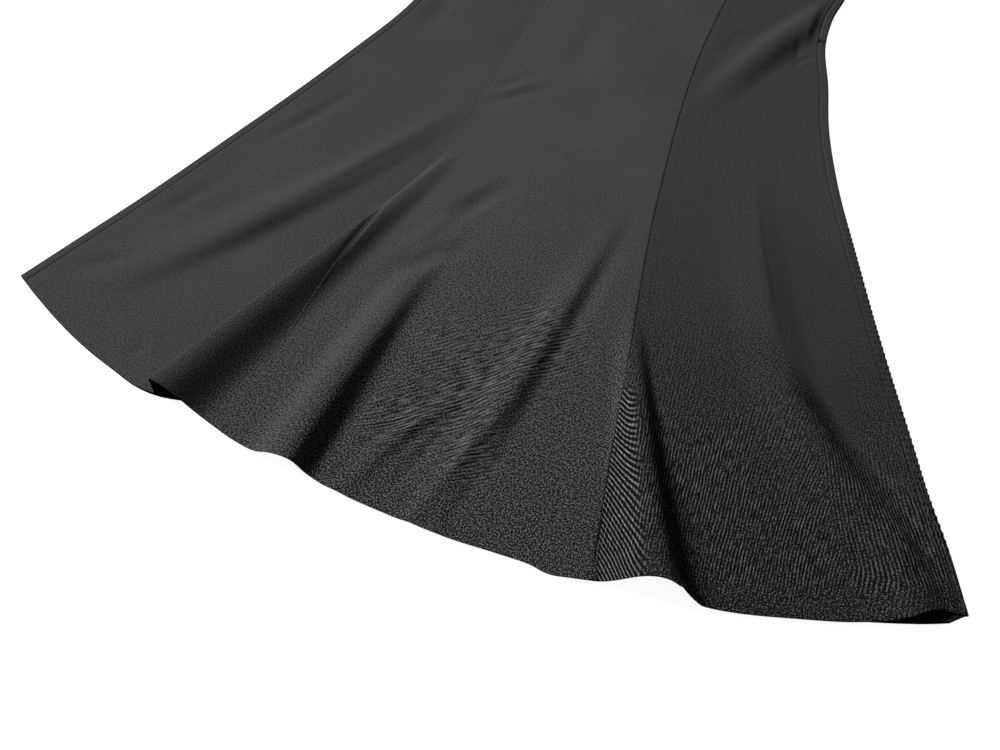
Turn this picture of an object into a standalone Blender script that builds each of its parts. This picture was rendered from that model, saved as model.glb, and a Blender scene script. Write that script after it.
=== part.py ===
"""Mermaid fishtail skirt, laid flat with its front up.

Six gores (three in front, three behind), a two-piece waistband and a concealed zip in the side seam at +X.
The back layer is flat on the surface.  Its side gores wrap round the edges and meet the front gores on top.
The front gores carry the folds.  +X is across the skirt, +Y from the hem to the waist, +Z up.  Tables are in
millimetres, everything else is in metres.
"""
import math

import bmesh
import bpy
import numpy as np
from mathutils import Matrix

MM = 0.001

# ---- cloth ----------------------------------------------------------------------------------------------
WALL = 1.2 * MM                # one layer of cloth
HEM_WALL = 1.9 * MM            # the turned-up hem is thicker
BAND_WALL = 1.8 * MM           # so is the folded waistband
HEM_TURN = 11 * MM             # depth of the turned-up hem
HEM_TURN_END = 1.1             # the thick wall ends this many turn-up depths above the hem edge
BAND_DEPTH = 30 * MM           # depth of the waistband
SEAM_GAP = 0.3 * MM            # between neighbouring pieces
EDGE_RADIUS = 2.4 * MM         # outer radius of the fold along each side
SEAM_INSET = 9 * MM            # side seams lie this far inside the folded edge, on the front
BASE_Z = 2 * EDGE_RADIUS       # top of the front layer where it lies flat

# ---- cut ------------------------------------------------------------------------------------------------
TOP_Y = 471 * MM               # waist edge at the sides
HEM_EDGE_Y = -379 * MM         # hem at the sides
SKIRT_LENGTH = TOP_Y - HEM_EDGE_Y
WAIST_SAG = 6 * MM             # the waist dips this far at the centre
HEM_SAG = 91 * MM              # and the hem hangs this far below its corners
SAG_POWER = 1.5                # how the dip grows from waist to hem
ARC_POWER = 2.5                # roundness of each cross line
PILLOW_POWER = 1.5             # and of the soft height across the skirt

# One row for each section, from the waist down: where the section meets the sides (y), the two folded
# edges and the two front seams (x).
SECTIONS = (
    # edge_y, left, left_seam, right_seam, right
    (471, -177, -78, 72, 169),
    (430, -199, -91, 84, 191),
    (370, -221, -100, 93, 212),
    (300, -231, -104, 96, 220),
    (240, -226, -103, 91, 211),
    (200, -229, -103, 88, 212),
    (140, -238, -106, 86, 227),
    (80, -251, -113, 88, 240),
    (10, -276, -119, 94, 263),
    (-70, -307, -130, 103, 297),
    (-160, -345, -155, 118, 337),
    (-250, -384, -171, 132, 380),
    (-330, -422, -180, 147, 419),
    (-379, -445, -185, 157, 445),
)

# Soft height of the front layer over the back one, down the skirt.
PILLOW = (
    # edge_y, height
    (471, 2.0),
    (330, 7.0),
    (120, 6.0),
    (-120, 3.5),
    (-300, 1.5),
    (-379, 0.6),
)

# Folds of the front layer.  Each runs from a lower end to an upper end, bowed to the right where bow is
# positive.  start is the share of the height at the lower end, peak the place of the full height, and fade
# how it dies out towards the upper end.  left and right are the half widths at the lower and upper end.
# roll steepens the flanks, lean pushes the crest to the right, and full rounds out the right flank where it
# is under 1 and hollows it where it is over 1.
FOLDS = (
    # name, low_x, low_y, up_x, up_y, bow, height, start, peak, fade,
    # left, left_up, right, right_up, roll, lean, full
    ("left_ridge", -400, -392, -118, -15, 21, 8, 0.0, 0.45, 1.0, 45, 25, 24, 12, 0.02, 0, 1.0),
    ("left_tunnel", -251, -448, -112, -95, 0, 28, 1.0, 0.0, 0.8, 12, 9, 54, 17, 0.03, -6, 1.2),
    ("centre_left", -119, -463, -70, -165, 8, 19, 1.0, 0.0, 0.85, 46, 26, 27, 13, 0.05, 1, 1.0),
    ("streak_left", -60, -455, 14, -336, -9, 4, 0.5, 0.5, 1.0, 15, 12, 13, 10, 0.00, 0, 1.0),
    ("streak_right", 6, -452, 40, -335, 0, 4, 0.5, 0.5, 1.0, 13, 11, 13, 10, 0.00, 0, 1.0),
    ("centre_right", 22, -440, 72, -100, 0, 9, 0.2, 0.35, 1.2, 40, 20, 26, 14, 0.02, 0, 1.0),
    ("right_tunnel", 203, -457, 114, -212, 0, 38, 1.0, 0.0, 0.9, 46, 16, 43, 15, 0.03, 5, 0.5),
    ("right_step", 385, -388, 172, 20, -34, 6.5, 0.45, 0.4, 1.0, 55, 35, 20, 16, 0.00, 0, 1.0),
    ("corner_lift", 415, -400, 330, -262, 0, 12, 1.0, 0.0, 1.3, 44, 30, 28, 20, 0.00, 0, 1.0),
    ("hip_ridge", 90, 20, 220, 278, -9, 9, 0.0, 0.65, 0.8, 22, 24, 17, 18, 0.02, 0, 1.0),
)
FOLD_KEYS = ("low_x", "low_y", "up_x", "up_y", "bow", "height", "start", "peak", "fade",
             "left", "left_up", "right", "right_up", "roll", "lean", "full")
UNITLESS = ("start", "peak", "fade", "roll", "full")

# How far the folds draw up the front hem, and how far the back hem lies behind the front one.
HEM_DRAW = (
    # x, front, back
    (-445, 0, 0),
    (-410, -1, -1),
    (-372, -2, -2),
    (-340, -2, -2),
    (-311, -1, -1),
    (-275, 0, 0),
    (-250, 6, 6),
    (-232, 8, 13),
    (-205, 7.5, 10),
    (-170, 4, 8),
    (-130, 4, 14),
    (-112, 6, 13),
    (-80, 2, 8),
    (-20, -1, 3),
    (30, -2, 2),
    (80, -0.5, 5),
    (106, -1, 3),
    (122, -4, 2),
    (140, -2, 6),
    (155, 0, 12),
    (205, 4, 28),
    (232, 0, 18),
    (250, -2, 8),
    (320, -3, 1),
    (370, -4, -3),
    (395, -3, -5),
    (422, 3, -7),
    (436, -1, -7),
    (445, -4, -4),
)
DRAW_REACH = 170 * MM          # the draw dies out this far above the hem
SIDE_FADE = 14 * MM            # folds die out this far inside the side seams

# ---- grid -----------------------------------------------------------------------------------------------
GORE_ROWS = 24                 # rows down to the hem's turn-up
BAND_ROWS = 2
HEM_STEPS = (0.0, 0.5, 1.0, 1.35)   # rows across the hem's turn-up, in turn-up depths above the hem edge
COLUMNS = {"front_left": 22, "front_centre": 26, "front_right": 28}
# The crest of one fold stays on one column of its gore: the fold, the column, and that column's share of
# the gore's width above the fold.
GUIDES = {
    "front_left": ("left_tunnel", 15, 0.68),
    "front_centre": ("centre_left", 8, 0.30),
    "front_right": ("right_tunnel", 9, 0.34),
}
GUIDE_MARGIN = 5 * MM          # a guided column stays this far inside its gore
GUIDE_SEARCH = 60 * MM         # the crest is looked for this far past the gore's seams
GUIDE_FREE = (0.7, 0.6)        # along a fold, where its column starts to leave the crest, and over how much
CROWDING = 5.0                 # how much denser the columns are on a crest
CROWDING_REACH = 1.1           # over this many half widths
LINE_SAMPLES = 321             # points read along a cross line
PLAN_STEPS = 6                 # rounds that find a point's cross line
NORMAL_STEP = 0.2 * MM
BAND_COLUMNS = 16
BACK_COLUMNS = 4
EDGE_STEPS = 6                 # facets round each folded edge
LAP_STEPS = 2                  # columns from the folded edge to the side seam
SHARP_ANGLE = math.radians(50)

# ---- concealed zip --------------------------------------------------------------------------------------
SLIDER_DROP = 9 * MM           # slider centre below the waist edge, along the seam
SLIDER_LENGTH = 10 * MM
SLIDER_WIDTH = 6 * MM
SLIDER_BASE = 1.2 * MM         # thickness of the base plate
SLIDER_CORNER = 1.8 * MM
CORNER_STEPS = 4
ARCH_WIDTH = 2.0 * MM          # the arch that holds the pull tab
ARCH_REACH = 2.9 * MM          # half length of the arch
ARCH_WALL = 0.8 * MM
ARCH_CLEAR = 1.1 * MM          # from the hinge axis to the inside of the arch
ARCH_STEPS = 8
PULL_THICKNESS = 1.2 * MM
PULL_BAR = 0.9 * MM            # the bar under the arch
PULL_EYE = 4.15 * MM           # length of the eye
PULL_EYE_HALF = 1.5 * MM
PIVOT_RISE = SEAM_GAP + SLIDER_BASE + SEAM_GAP + PULL_THICKNESS / 2     # axis above the cloth
# Half outline of the pull tab: distance from the axis and half width.
PULL_OUTLINE = (
    # along, half_width
    (-0.45, 2.1),
    (0.2, 2.7),
    (4.6, 2.7),
    (6.4, 1.9),
    (9.0, 1.7),
    (13.0, 2.3),
    (17.0, 2.8),
    (20.0, 2.5),
    (21.6, 1.5),
    (22.2, 0.0),
)

CHARCOAL = (0.050, 0.051, 0.054, 1.0)
SMOKED_METAL = (0.16, 0.16, 0.17, 1.0)


# ---- tables ---------------------------------------------------------------------------------------------
def column(table, index):
    """One column of a table in metres, ordered so that its first column rises."""
    values = np.array([row[index] for row in table], float) * MM
    keys = np.array([row[0] for row in table], float) * MM
    order = np.argsort(keys)
    return keys[order], values[order]


def smooth(table, index, at):
    """Reads a table's column at a key along a smooth curve through its rows."""
    keys, values = column(table, index)
    slopes = np.gradient(values, keys)
    at = np.clip(np.asarray(at, float), keys[0], keys[-1])
    cell = np.clip(np.searchsorted(keys, at) - 1, 0, len(keys) - 2)
    width = keys[cell + 1] - keys[cell]
    t = (at - keys[cell]) / width
    rise = (1 + 2 * t) * (1 - t) ** 2 * values[cell] + t * t * (3 - 2 * t) * values[cell + 1]
    bend = t * (1 - t) ** 2 * slopes[cell] - t * t * (1 - t) * slopes[cell + 1]
    return rise + width * bend


def ease(value):
    """Rises smoothly from 0 at 0 to 1 at 1."""
    value = np.clip(value, 0.0, 1.0)
    return value * value * (3 - 2 * value)


def fold_table():
    """The folds as dictionaries, lengths in metres."""
    folds = []
    for row in FOLDS:
        values = dict(zip(FOLD_KEYS, row[1:]))
        folds.append({key: value if key in UNITLESS else value * MM for key, value in values.items()})
    return folds


FOLD_LIST = fold_table()


# ---- plan of the skirt ----------------------------------------------------------------------------------
def edge_y(v):
    """Height of cross line v where it meets the sides: 0 at the waist and 1 at the hem."""
    return TOP_Y + (HEM_EDGE_Y - TOP_Y) * v


def across(v, name):
    """Place of a folded edge or a seam on cross line v."""
    index = {"left": 1, "left_seam": 2, "right_seam": 3, "right": 4}[name]
    return smooth(SECTIONS, index, edge_y(v))


def width_share(v, x):
    """0 at the middle of cross line v, 1 at its folded edges."""
    left = across(v, "left")
    right = across(v, "right")
    return np.clip(np.abs((x - (left + right) / 2) / ((right - left) / 2)), 0.0, 1.0)


def row_y(v, x, draw_index):
    """Where cross line v lies at x, drawn up near the hem."""
    sag = WAIST_SAG + (HEM_SAG - WAIST_SAG) * v ** SAG_POWER
    arc = edge_y(v) - sag * (1 - width_share(v, x) ** ARC_POWER)
    above_hem = (1 - v) * SKIRT_LENGTH
    return arc + smooth(HEM_DRAW, draw_index, x) * ease(1 - above_hem / DRAW_REACH)


# ---- front surface --------------------------------------------------------------------------------------
def fold_place(fold, x, y):
    """Where a point lies along and across a fold, and the fold's direction."""
    run = np.array([fold["up_x"] - fold["low_x"], fold["up_y"] - fold["low_y"]])
    length = math.hypot(*run)
    run = run / length
    along = ((x - fold["low_x"]) * run[0] + (y - fold["low_y"]) * run[1]) / length
    off = (x - fold["low_x"]) * run[1] - (y - fold["low_y"]) * run[0]
    held = np.clip(along, 0.0, 1.0)
    return along, off - 4 * fold["bow"] * held * (1 - held), run


def fold_height(fold, along):
    """Height of a fold's crest along its length."""
    rise = fold["start"] + (1 - fold["start"]) * ease(along / max(fold["peak"], 1e-6))
    left_over = np.clip((1 - along) / (1 - fold["peak"]), 0.0, 1.0)
    return fold["height"] * rise * left_over ** fold["fade"]


def fold_share(fold, x, y):
    """Signed share of the half width: 0 on the crest and 1 or -1 at the feet."""
    along, off, run = fold_place(fold, x, y)
    held = np.clip(along, 0.0, 1.0)
    left = fold["left"] + (fold["left_up"] - fold["left"]) * held
    right = fold["right"] + (fold["right_up"] - fold["right"]) * held
    half = np.where(off < 0, left, right)
    return along, np.clip(off / half, -1.0, 1.0), half, run


def fold_move(fold, x, y):
    """How a fold moves points of the flat front."""
    along, share, half, run = fold_share(fold, x, y)
    height = fold_height(fold, along)
    bell = ((1 + np.cos(np.pi * share)) / 2) ** np.where(share > 0, fold["full"], 1.0)
    strength = np.clip(height / fold["height"], 0.0, 1.0)
    aside = strength * (half * fold["roll"] * np.sin(2 * np.pi * share) + fold["lean"] * bell)
    return aside * run[1], -aside * run[0], height * bell


def front_point(x, y):
    """Outer surface of the front layer over the plan point x, y."""
    v = np.clip((TOP_Y - y) / SKIRT_LENGTH, 0.0, 1.0)
    for _ in range(PLAN_STEPS):
        v = np.clip(v + (row_y(v, x, 1) - y) / SKIRT_LENGTH, 0.0, 1.0)
    share = width_share(v, x)
    half = (across(v, "right") - across(v, "left")) / 2
    inside = ease(((1 - share) * half - SEAM_INSET) / SIDE_FADE)
    lift = BASE_Z + smooth(PILLOW, 1, edge_y(v)) * np.clip(1 - share ** 2, 0.0, 1.0) ** PILLOW_POWER
    moved_x = np.array(x, float)
    moved_y = np.array(y, float)
    for fold in FOLD_LIST:
        move_x, move_y, move_z = fold_move(fold, x, y)
        moved_x = moved_x + inside * move_x
        moved_y = moved_y + inside * move_y
        lift = lift + inside * move_z
    return np.stack([moved_x, moved_y, lift], axis=-1)


def front_normal(x, y):
    """Upward normal of the front surface."""
    run_x = front_point(x + NORMAL_STEP, y) - front_point(x - NORMAL_STEP, y)
    run_y = front_point(x, y + NORMAL_STEP) - front_point(x, y - NORMAL_STEP)
    normal = np.cross(run_x, run_y)
    return normal / np.linalg.norm(normal, axis=-1, keepdims=True)


# ---- grids ----------------------------------------------------------------------------------------------
def gore_rows():
    """Cross lines of a gore, from the waistband's seam to the hem."""
    length = TOP_Y - HEM_EDGE_Y
    first = (BAND_DEPTH + SEAM_GAP / 2) / length
    turn = [1 - step * HEM_TURN / length for step in reversed(HEM_STEPS)]
    return np.concatenate([np.linspace(first, turn[0], GORE_ROWS)[:-1], turn])


def band_rows():
    """Cross lines of the waistband."""
    return np.linspace(0.0, (BAND_DEPTH - SEAM_GAP / 2) / SKIRT_LENGTH, BAND_ROWS + 1)


def gore_wall(v):
    """Thickness of a gore on cross line v: the hem is turned up."""
    above_hem = (1 - v) * SKIRT_LENGTH
    return HEM_WALL if above_hem < HEM_TURN_END * HEM_TURN else WALL


def band_wall(v):
    """Thickness of the waistband."""
    return BAND_WALL


def guided(v, start, end, count, guide):
    """Columns of a gore on cross line v, with one of them on the crest of a fold."""
    name, place, share = guide
    fold = FOLD_LIST[[row[0] for row in FOLDS].index(name)]
    x = np.linspace(start - GUIDE_SEARCH, end + GUIDE_SEARCH, LINE_SAMPLES)
    along, off, _ = fold_place(fold, x, row_y(v, x, 1))
    crest = float(np.interp(0.0, off, x))
    passed = float(ease((np.interp(0.0, off, along) - GUIDE_FREE[0]) / GUIDE_FREE[1]))
    crest = crest * (1 - passed) + (start + share * (end - start)) * passed
    crest = min(max(crest, start + GUIDE_MARGIN), end - GUIDE_MARGIN)
    below = crowded(v, start, crest, place)
    above = crowded(v, crest, end, count - place)
    return np.concatenate([below, above[1:]])


def crowded(v, start, end, count):
    """Columns between two places on cross line v, denser on the crests of the folds."""
    x = np.linspace(start, end, LINE_SAMPLES)
    y = row_y(v, x, 1)
    weight = np.ones_like(x)
    for fold in FOLD_LIST:
        along, off, _ = fold_place(fold, x, y)
        held = np.clip(along, 0.0, 1.0)
        half = (fold["left"] + fold["right"]) / 2 * (1 - held) + (fold["left_up"] + fold["right_up"]) / 2 * held
        steep = np.clip(fold_height(fold, along), 0.0, None) / half
        weight = weight + CROWDING * steep * np.exp(-(off / (CROWDING_REACH * half)) ** 2)
    total = np.concatenate([[0.0], np.cumsum((weight[1:] + weight[:-1]) / 2)])
    return np.interp(np.linspace(0.0, total[-1], count + 1), total, x)


def front_grid(rows, start, end, columns, wall):
    """Outer and inner points of a front piece between two lines of the cut."""
    outer = []
    inner = []
    for v in rows:
        x = columns(v, start(v), end(v))
        y = row_y(v, x, 1)
        point = front_point(x, y)
        outer.append(point)
        inner.append(point - front_normal(x, y) * wall(v))
    return np.array(outer), np.array(inner)


def back_grid(rows, start, end, count, wall):
    """Outer and inner points of a flat back piece."""
    outer = []
    inner = []
    for v in rows:
        x = np.linspace(start(v), end(v), count + 1)
        y = row_y(v, x, 2)
        outer.append(np.stack([x, y, np.zeros_like(x)], axis=-1))
        inner.append(np.stack([x, y, np.full_like(x, wall(v))], axis=-1))
    return np.array(outer), np.array(inner)


def lap_line(v, side, wall):
    """Outer and inner points from the flat back round the folded edge to the side seam on the front."""
    edge = across(v, "right" if side > 0 else "left")
    bend = edge - side * EDGE_RADIUS
    angles = np.linspace(-math.pi / 2, math.pi / 2, EDGE_STEPS + 1)
    inner_radius = EDGE_RADIUS - wall
    outer_x = bend + side * EDGE_RADIUS * np.cos(angles)
    outer_z = EDGE_RADIUS + EDGE_RADIUS * np.sin(angles)
    inner_x = bend + side * inner_radius * np.cos(angles)
    inner_z = EDGE_RADIUS + inner_radius * np.sin(angles)
    seam = edge - side * (SEAM_INSET - SEAM_GAP / 2)
    top_x = np.linspace(bend, seam, LAP_STEPS + 1)[1:]
    outer_x = np.concatenate([outer_x, top_x])
    inner_x = np.concatenate([inner_x, top_x])
    top_z = front_point(top_x, row_y(v, top_x, 1))[..., 2]
    outer_z = np.concatenate([outer_z, top_z])
    inner_z = np.concatenate([inner_z, top_z - wall])
    y = row_y(v, outer_x, 1)
    return np.stack([outer_x, y, outer_z], axis=-1), np.stack([inner_x, y, inner_z], axis=-1)


def wrapped_grid(rows, side, start, count, wall):
    """A flat back piece that goes on round the folded edge on one side."""
    outer = []
    inner = []
    for v in rows:
        lap_outer, lap_inner = lap_line(v, side, wall(v))
        x = np.linspace(start(v), lap_outer[0, 0], count + 1)[:-1]
        y = row_y(v, x, 2)
        flat = np.stack([x, y, np.zeros_like(x)], axis=-1)
        thick = np.stack([x, y, np.full_like(x, wall(v))], axis=-1)
        outer.append(np.concatenate([flat, lap_outer]))
        inner.append(np.concatenate([thick, lap_inner]))
    return np.array(outer), np.array(inner)


def closed_sheet(name, outer, inner, colour):
    """A closed wall from its outer and inner grids, its faces turned out."""
    rows, columns = outer.shape[:2]
    mesh = bpy.data.meshes.new(name)
    shape = bmesh.new()
    top = [[shape.verts.new(point) for point in line] for line in outer]
    low = [[shape.verts.new(point) for point in line] for line in inner]
    for r in range(rows - 1):
        for c in range(columns - 1):
            shape.faces.new((top[r][c], top[r + 1][c], top[r + 1][c + 1], top[r][c + 1]))
            shape.faces.new((low[r][c], low[r][c + 1], low[r + 1][c + 1], low[r + 1][c]))
    for r in range(rows - 1):
        shape.faces.new((top[r][0], low[r][0], low[r + 1][0], top[r + 1][0]))
        shape.faces.new((top[r][-1], top[r + 1][-1], low[r + 1][-1], low[r][-1]))
    for c in range(columns - 1):
        shape.faces.new((top[0][c], top[0][c + 1], low[0][c + 1], low[0][c]))
        shape.faces.new((top[-1][c], low[-1][c], low[-1][c + 1], top[-1][c + 1]))
    if shape.calc_volume(signed=True) < 0:
        bmesh.ops.reverse_faces(shape, faces=shape.faces)
    shape.to_mesh(mesh)
    shape.free()
    mesh.shade_smooth()
    mesh.set_sharp_from_angle(angle=SHARP_ANGLE)
    return add_object(name, mesh, colour, roughness=0.75, metallic=0.0)


def add_object(name, mesh, colour, roughness, metallic):
    """Puts a mesh in the scene with a material of its own."""
    material = bpy.data.materials.new(name)
    material.use_nodes = True
    shader = material.node_tree.nodes["Principled BSDF"]
    shader.inputs["Base Color"].default_value = colour
    shader.inputs["Roughness"].default_value = roughness
    shader.inputs["Metallic"].default_value = metallic
    mesh.materials.append(material)
    piece = bpy.data.objects.new(name, mesh)
    bpy.context.scene.collection.objects.link(piece)
    return piece


# ---- lines of the cut -----------------------------------------------------------------------------------
def beside(name, offset):
    """A line of the cut, moved across by an offset."""
    return lambda v: across(v, name) + offset


def build_front():
    """The three front gores and the front of the waistband."""
    half_gap = SEAM_GAP / 2
    lines = {
        "front_left": (beside("left", SEAM_INSET + half_gap), beside("left_seam", -half_gap)),
        "front_centre": (beside("left_seam", half_gap), beside("right_seam", -half_gap)),
        "front_right": (beside("right_seam", half_gap), beside("right", -SEAM_INSET - half_gap)),
    }
    for name, (start, end) in lines.items():
        def columns(v, low, high, name=name):
            return guided(v, low, high, COLUMNS[name], GUIDES[name])
        outer, inner = front_grid(gore_rows(), start, end, columns, gore_wall)
        closed_sheet(name, outer, inner, CHARCOAL)

    def band_columns(v, low, high):
        return np.linspace(low, high, BAND_COLUMNS + 1)
    outer, inner = front_grid(band_rows(), lines["front_left"][0], lines["front_right"][1],
                              band_columns, band_wall)
    closed_sheet("waistband_front", outer, inner, CHARCOAL)


def build_back():
    """The three back gores and the back of the waistband, which wrap round both sides."""
    half_gap = SEAM_GAP / 2
    start = beside("left_seam", half_gap)
    end = beside("right_seam", -half_gap)
    outer, inner = back_grid(gore_rows(), start, end, BACK_COLUMNS, gore_wall)
    closed_sheet("back_centre", outer, inner, CHARCOAL)
    for name, side, seam in (("back_left", -1, beside("left_seam", -half_gap)),
                             ("back_right", 1, beside("right_seam", half_gap))):
        outer, inner = wrapped_grid(gore_rows(), side, seam, BACK_COLUMNS, gore_wall)
        closed_sheet(name, outer, inner, CHARCOAL)
    left_outer, left_inner = wrapped_grid(band_rows(), -1, lambda v: 0.0, BACK_COLUMNS, band_wall)
    right_outer, right_inner = wrapped_grid(band_rows(), 1, lambda v: 0.0, BACK_COLUMNS, band_wall)
    outer = np.concatenate([left_outer[:, ::-1], right_outer[:, 1:]], axis=1)
    inner = np.concatenate([left_inner[:, ::-1], right_inner[:, 1:]], axis=1)
    closed_sheet("waistband_back", outer, inner, CHARCOAL)


# ---- zip ------------------------------------------------------------------------------------------------
def side_seam(v):
    """The side seam at +X on the front, where the concealed zip lies."""
    x = across(v, "right") - SEAM_INSET
    return np.array([x, row_y(v, x, 1)])


def zip_frame():
    """Where the slider sits on the seam, and the way down along it."""
    length = TOP_Y - HEM_EDGE_Y
    here = side_seam(SLIDER_DROP / length)
    down = side_seam((SLIDER_DROP + SLIDER_LENGTH) / length) - side_seam(0.0)
    return here, down / np.linalg.norm(down)


def zip_place():
    """Matrix from the zip's own axes (x along the hinge, y up the seam, z up) to the skirt."""
    here, down = zip_frame()
    turn = math.atan2(down[0], -down[1])
    return Matrix.Translation((here[0], here[1], BASE_Z)) @ Matrix.Rotation(turn, 4, "Z")


def extruded(name, outline, thickness, holes=()):
    """A flat plate from an outline in x and y, centred on z = 0, with its holes cut through."""
    shape = bmesh.new()
    loops = []
    for ring in (outline, *holes):
        verts = [shape.verts.new((x, y, -thickness / 2)) for x, y in ring]
        loops += [shape.edges.new((a, b)) for a, b in zip(verts, verts[1:] + verts[:1])]
    faces = bmesh.ops.triangle_fill(shape, edges=loops, use_beauty=True)["geom"]
    faces = [part for part in faces if isinstance(part, bmesh.types.BMFace)]
    grown = bmesh.ops.extrude_face_region(shape, geom=faces)["geom"]
    verts = [part for part in grown if isinstance(part, bmesh.types.BMVert)]
    bmesh.ops.translate(shape, verts=verts, vec=(0, 0, thickness))
    bmesh.ops.recalc_face_normals(shape, faces=shape.faces)
    mesh = bpy.data.meshes.new(name)
    shape.to_mesh(mesh)
    shape.free()
    return mesh


def rounded_plate(length, width, corner):
    """Outline of a rectangle with round corners."""
    points = []
    for index, (sign_x, sign_y) in enumerate(((1, 1), (-1, 1), (-1, -1), (1, -1))):
        centre_x = sign_x * (width / 2 - corner)
        centre_y = sign_y * (length / 2 - corner)
        for step in range(CORNER_STEPS + 1):
            angle = math.pi / 2 * (index + step / CORNER_STEPS)
            points.append((centre_x + corner * math.cos(angle), centre_y + corner * math.sin(angle)))
    return points


def arch_outline():
    """Side view of the arch: a band over the hinge axis with two feet in the base plate."""
    foot = -(PULL_THICKNESS / 2 + SEAM_GAP + SLIDER_BASE / 2)
    inner = ARCH_REACH - ARCH_WALL
    points = [(ARCH_REACH, foot)]
    for step in range(ARCH_STEPS + 1):
        angle = math.pi * step / ARCH_STEPS
        points.append((ARCH_REACH * math.cos(angle), (ARCH_CLEAR + ARCH_WALL) * math.sin(angle)))
    points += [(-ARCH_REACH, foot), (-inner, foot)]
    for step in range(ARCH_STEPS + 1):
        angle = math.pi * (1 - step / ARCH_STEPS)
        points.append((inner * math.cos(angle), ARCH_CLEAR * math.sin(angle)))
    points.append((inner, foot))
    return points


def build_slider():
    """The slider: a base plate on the seam with an arch over the hinge axis."""
    place = zip_place()
    base = extruded("slider_base", rounded_plate(SLIDER_LENGTH, SLIDER_WIDTH, SLIDER_CORNER), SLIDER_BASE)
    base.transform(place @ Matrix.Translation((0, 0, SEAM_GAP + SLIDER_BASE / 2)))
    arch = extruded("slider_arch", arch_outline(), ARCH_WIDTH)
    stand = Matrix.Rotation(math.pi / 2, 4, "Z") @ Matrix.Rotation(math.pi / 2, 4, "X")
    arch.transform(place @ Matrix.Translation((0, 0, PIVOT_RISE)) @ stand)
    slider = add_object("zip_slider", base, SMOKED_METAL, roughness=0.35, metallic=1.0)
    cutter = bpy.data.objects.new("slider_arch", arch)
    bpy.context.scene.collection.objects.link(cutter)
    cutter.hide_render = True
    cutter.display_type = "WIRE"
    union = slider.modifiers.new("arch", "BOOLEAN")
    union.operation = "UNION"
    union.solver = "EXACT"
    union.object = cutter


def build_pull():
    """The pull tab, with its origin on the hinge axis."""
    right = [(half * MM, -along * MM) for along, half in PULL_OUTLINE]
    left = [(-x, y) for x, y in reversed(right[:-1])]
    low = -PULL_BAR / 2
    eye = [(PULL_EYE_HALF, low), (-PULL_EYE_HALF, low),
           (-PULL_EYE_HALF, low - PULL_EYE), (PULL_EYE_HALF, low - PULL_EYE)]
    mesh = extruded("zip_pull", right + left, PULL_THICKNESS, holes=(eye,))
    pull = add_object("zip_pull", mesh, SMOKED_METAL, roughness=0.35, metallic=1.0)
    pull.matrix_world = zip_place() @ Matrix.Translation((0, 0, PIVOT_RISE))


def clear_scene():
    """Removes what is in the scene."""
    for old in list(bpy.data.objects):
        bpy.data.objects.remove(old, do_unlink=True)


clear_scene()
build_front()
build_back()
build_slider()
build_pull()
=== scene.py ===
"""Looks of a mermaid fishtail skirt that lies flat with its front up.

Each gore and each half of the waistband is a thin shell of suiting on the form of its solid.  The shells add
what the solids leave out: small creases, rounded seams with their pressed allowances, the turned-up hem with
its stitches, and the lips of the concealed zip.  Tables are in millimetres, everything else is in metres.
"""
import math

import bmesh
import bpy
import numpy as np
from mathutils import Matrix, Vector


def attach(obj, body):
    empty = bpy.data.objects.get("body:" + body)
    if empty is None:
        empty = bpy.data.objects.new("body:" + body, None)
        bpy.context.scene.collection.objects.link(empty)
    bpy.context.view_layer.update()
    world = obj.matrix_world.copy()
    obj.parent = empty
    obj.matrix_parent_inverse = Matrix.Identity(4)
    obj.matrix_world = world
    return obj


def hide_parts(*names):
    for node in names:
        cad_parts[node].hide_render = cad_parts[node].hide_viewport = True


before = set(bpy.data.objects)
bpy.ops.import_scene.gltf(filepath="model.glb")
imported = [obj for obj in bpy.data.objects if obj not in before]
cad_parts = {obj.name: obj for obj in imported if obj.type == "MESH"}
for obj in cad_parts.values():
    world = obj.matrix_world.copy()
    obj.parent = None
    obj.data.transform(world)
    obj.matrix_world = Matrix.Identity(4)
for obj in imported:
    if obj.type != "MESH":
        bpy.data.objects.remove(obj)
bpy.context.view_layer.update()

MM = 0.001

# ---- cloth ----
# As in the solids, apart from the reach, bow, height or right side of seven folds.
WALL = 1.2 * MM
HEM_WALL = 1.9 * MM
BAND_WALL = 1.8 * MM
HEM_TURN = 11 * MM
HEM_STEP = 0.25 * HEM_TURN  # the wall grows to the hem's over this length
BAND_DEPTH = 30 * MM
SEAM_GAP = 0.3 * MM
EDGE_RADIUS = 2.4 * MM
SEAM_INSET = 9 * MM
BASE_Z = 2 * EDGE_RADIUS
TOP_Y = 471 * MM
HEM_EDGE_Y = -379 * MM
LENGTH = TOP_Y - HEM_EDGE_Y
WAIST_SAG = 6 * MM
HEM_SAG = 91 * MM
SAG_POWER = 1.5
ARC_POWER = 2.5
PILLOW_POWER = 1.5

SECTION_KEYS = ("edge_y", "left", "left_seam", "right_seam", "right")
SECTIONS = (
    (471, -177, -78, 72, 169),
    (430, -199, -91, 84, 191),
    (370, -221, -100, 93, 212),
    (300, -231, -104, 96, 220),
    (240, -226, -103, 91, 211),
    (200, -229, -103, 88, 212),
    (140, -238, -106, 86, 227),
    (80, -251, -113, 88, 240),
    (10, -276, -119, 94, 263),
    (-70, -307, -130, 103, 297),
    (-160, -345, -155, 118, 337),
    (-250, -384, -171, 132, 380),
    (-330, -422, -180, 147, 419),
    (-379, -445, -185, 157, 445),
)
PILLOW = (
    # edge_y, height
    (471, 2.0),
    (330, 7.0),
    (120, 6.0),
    (-120, 3.5),
    (-300, 1.5),
    (-379, 0.6),
)
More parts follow.
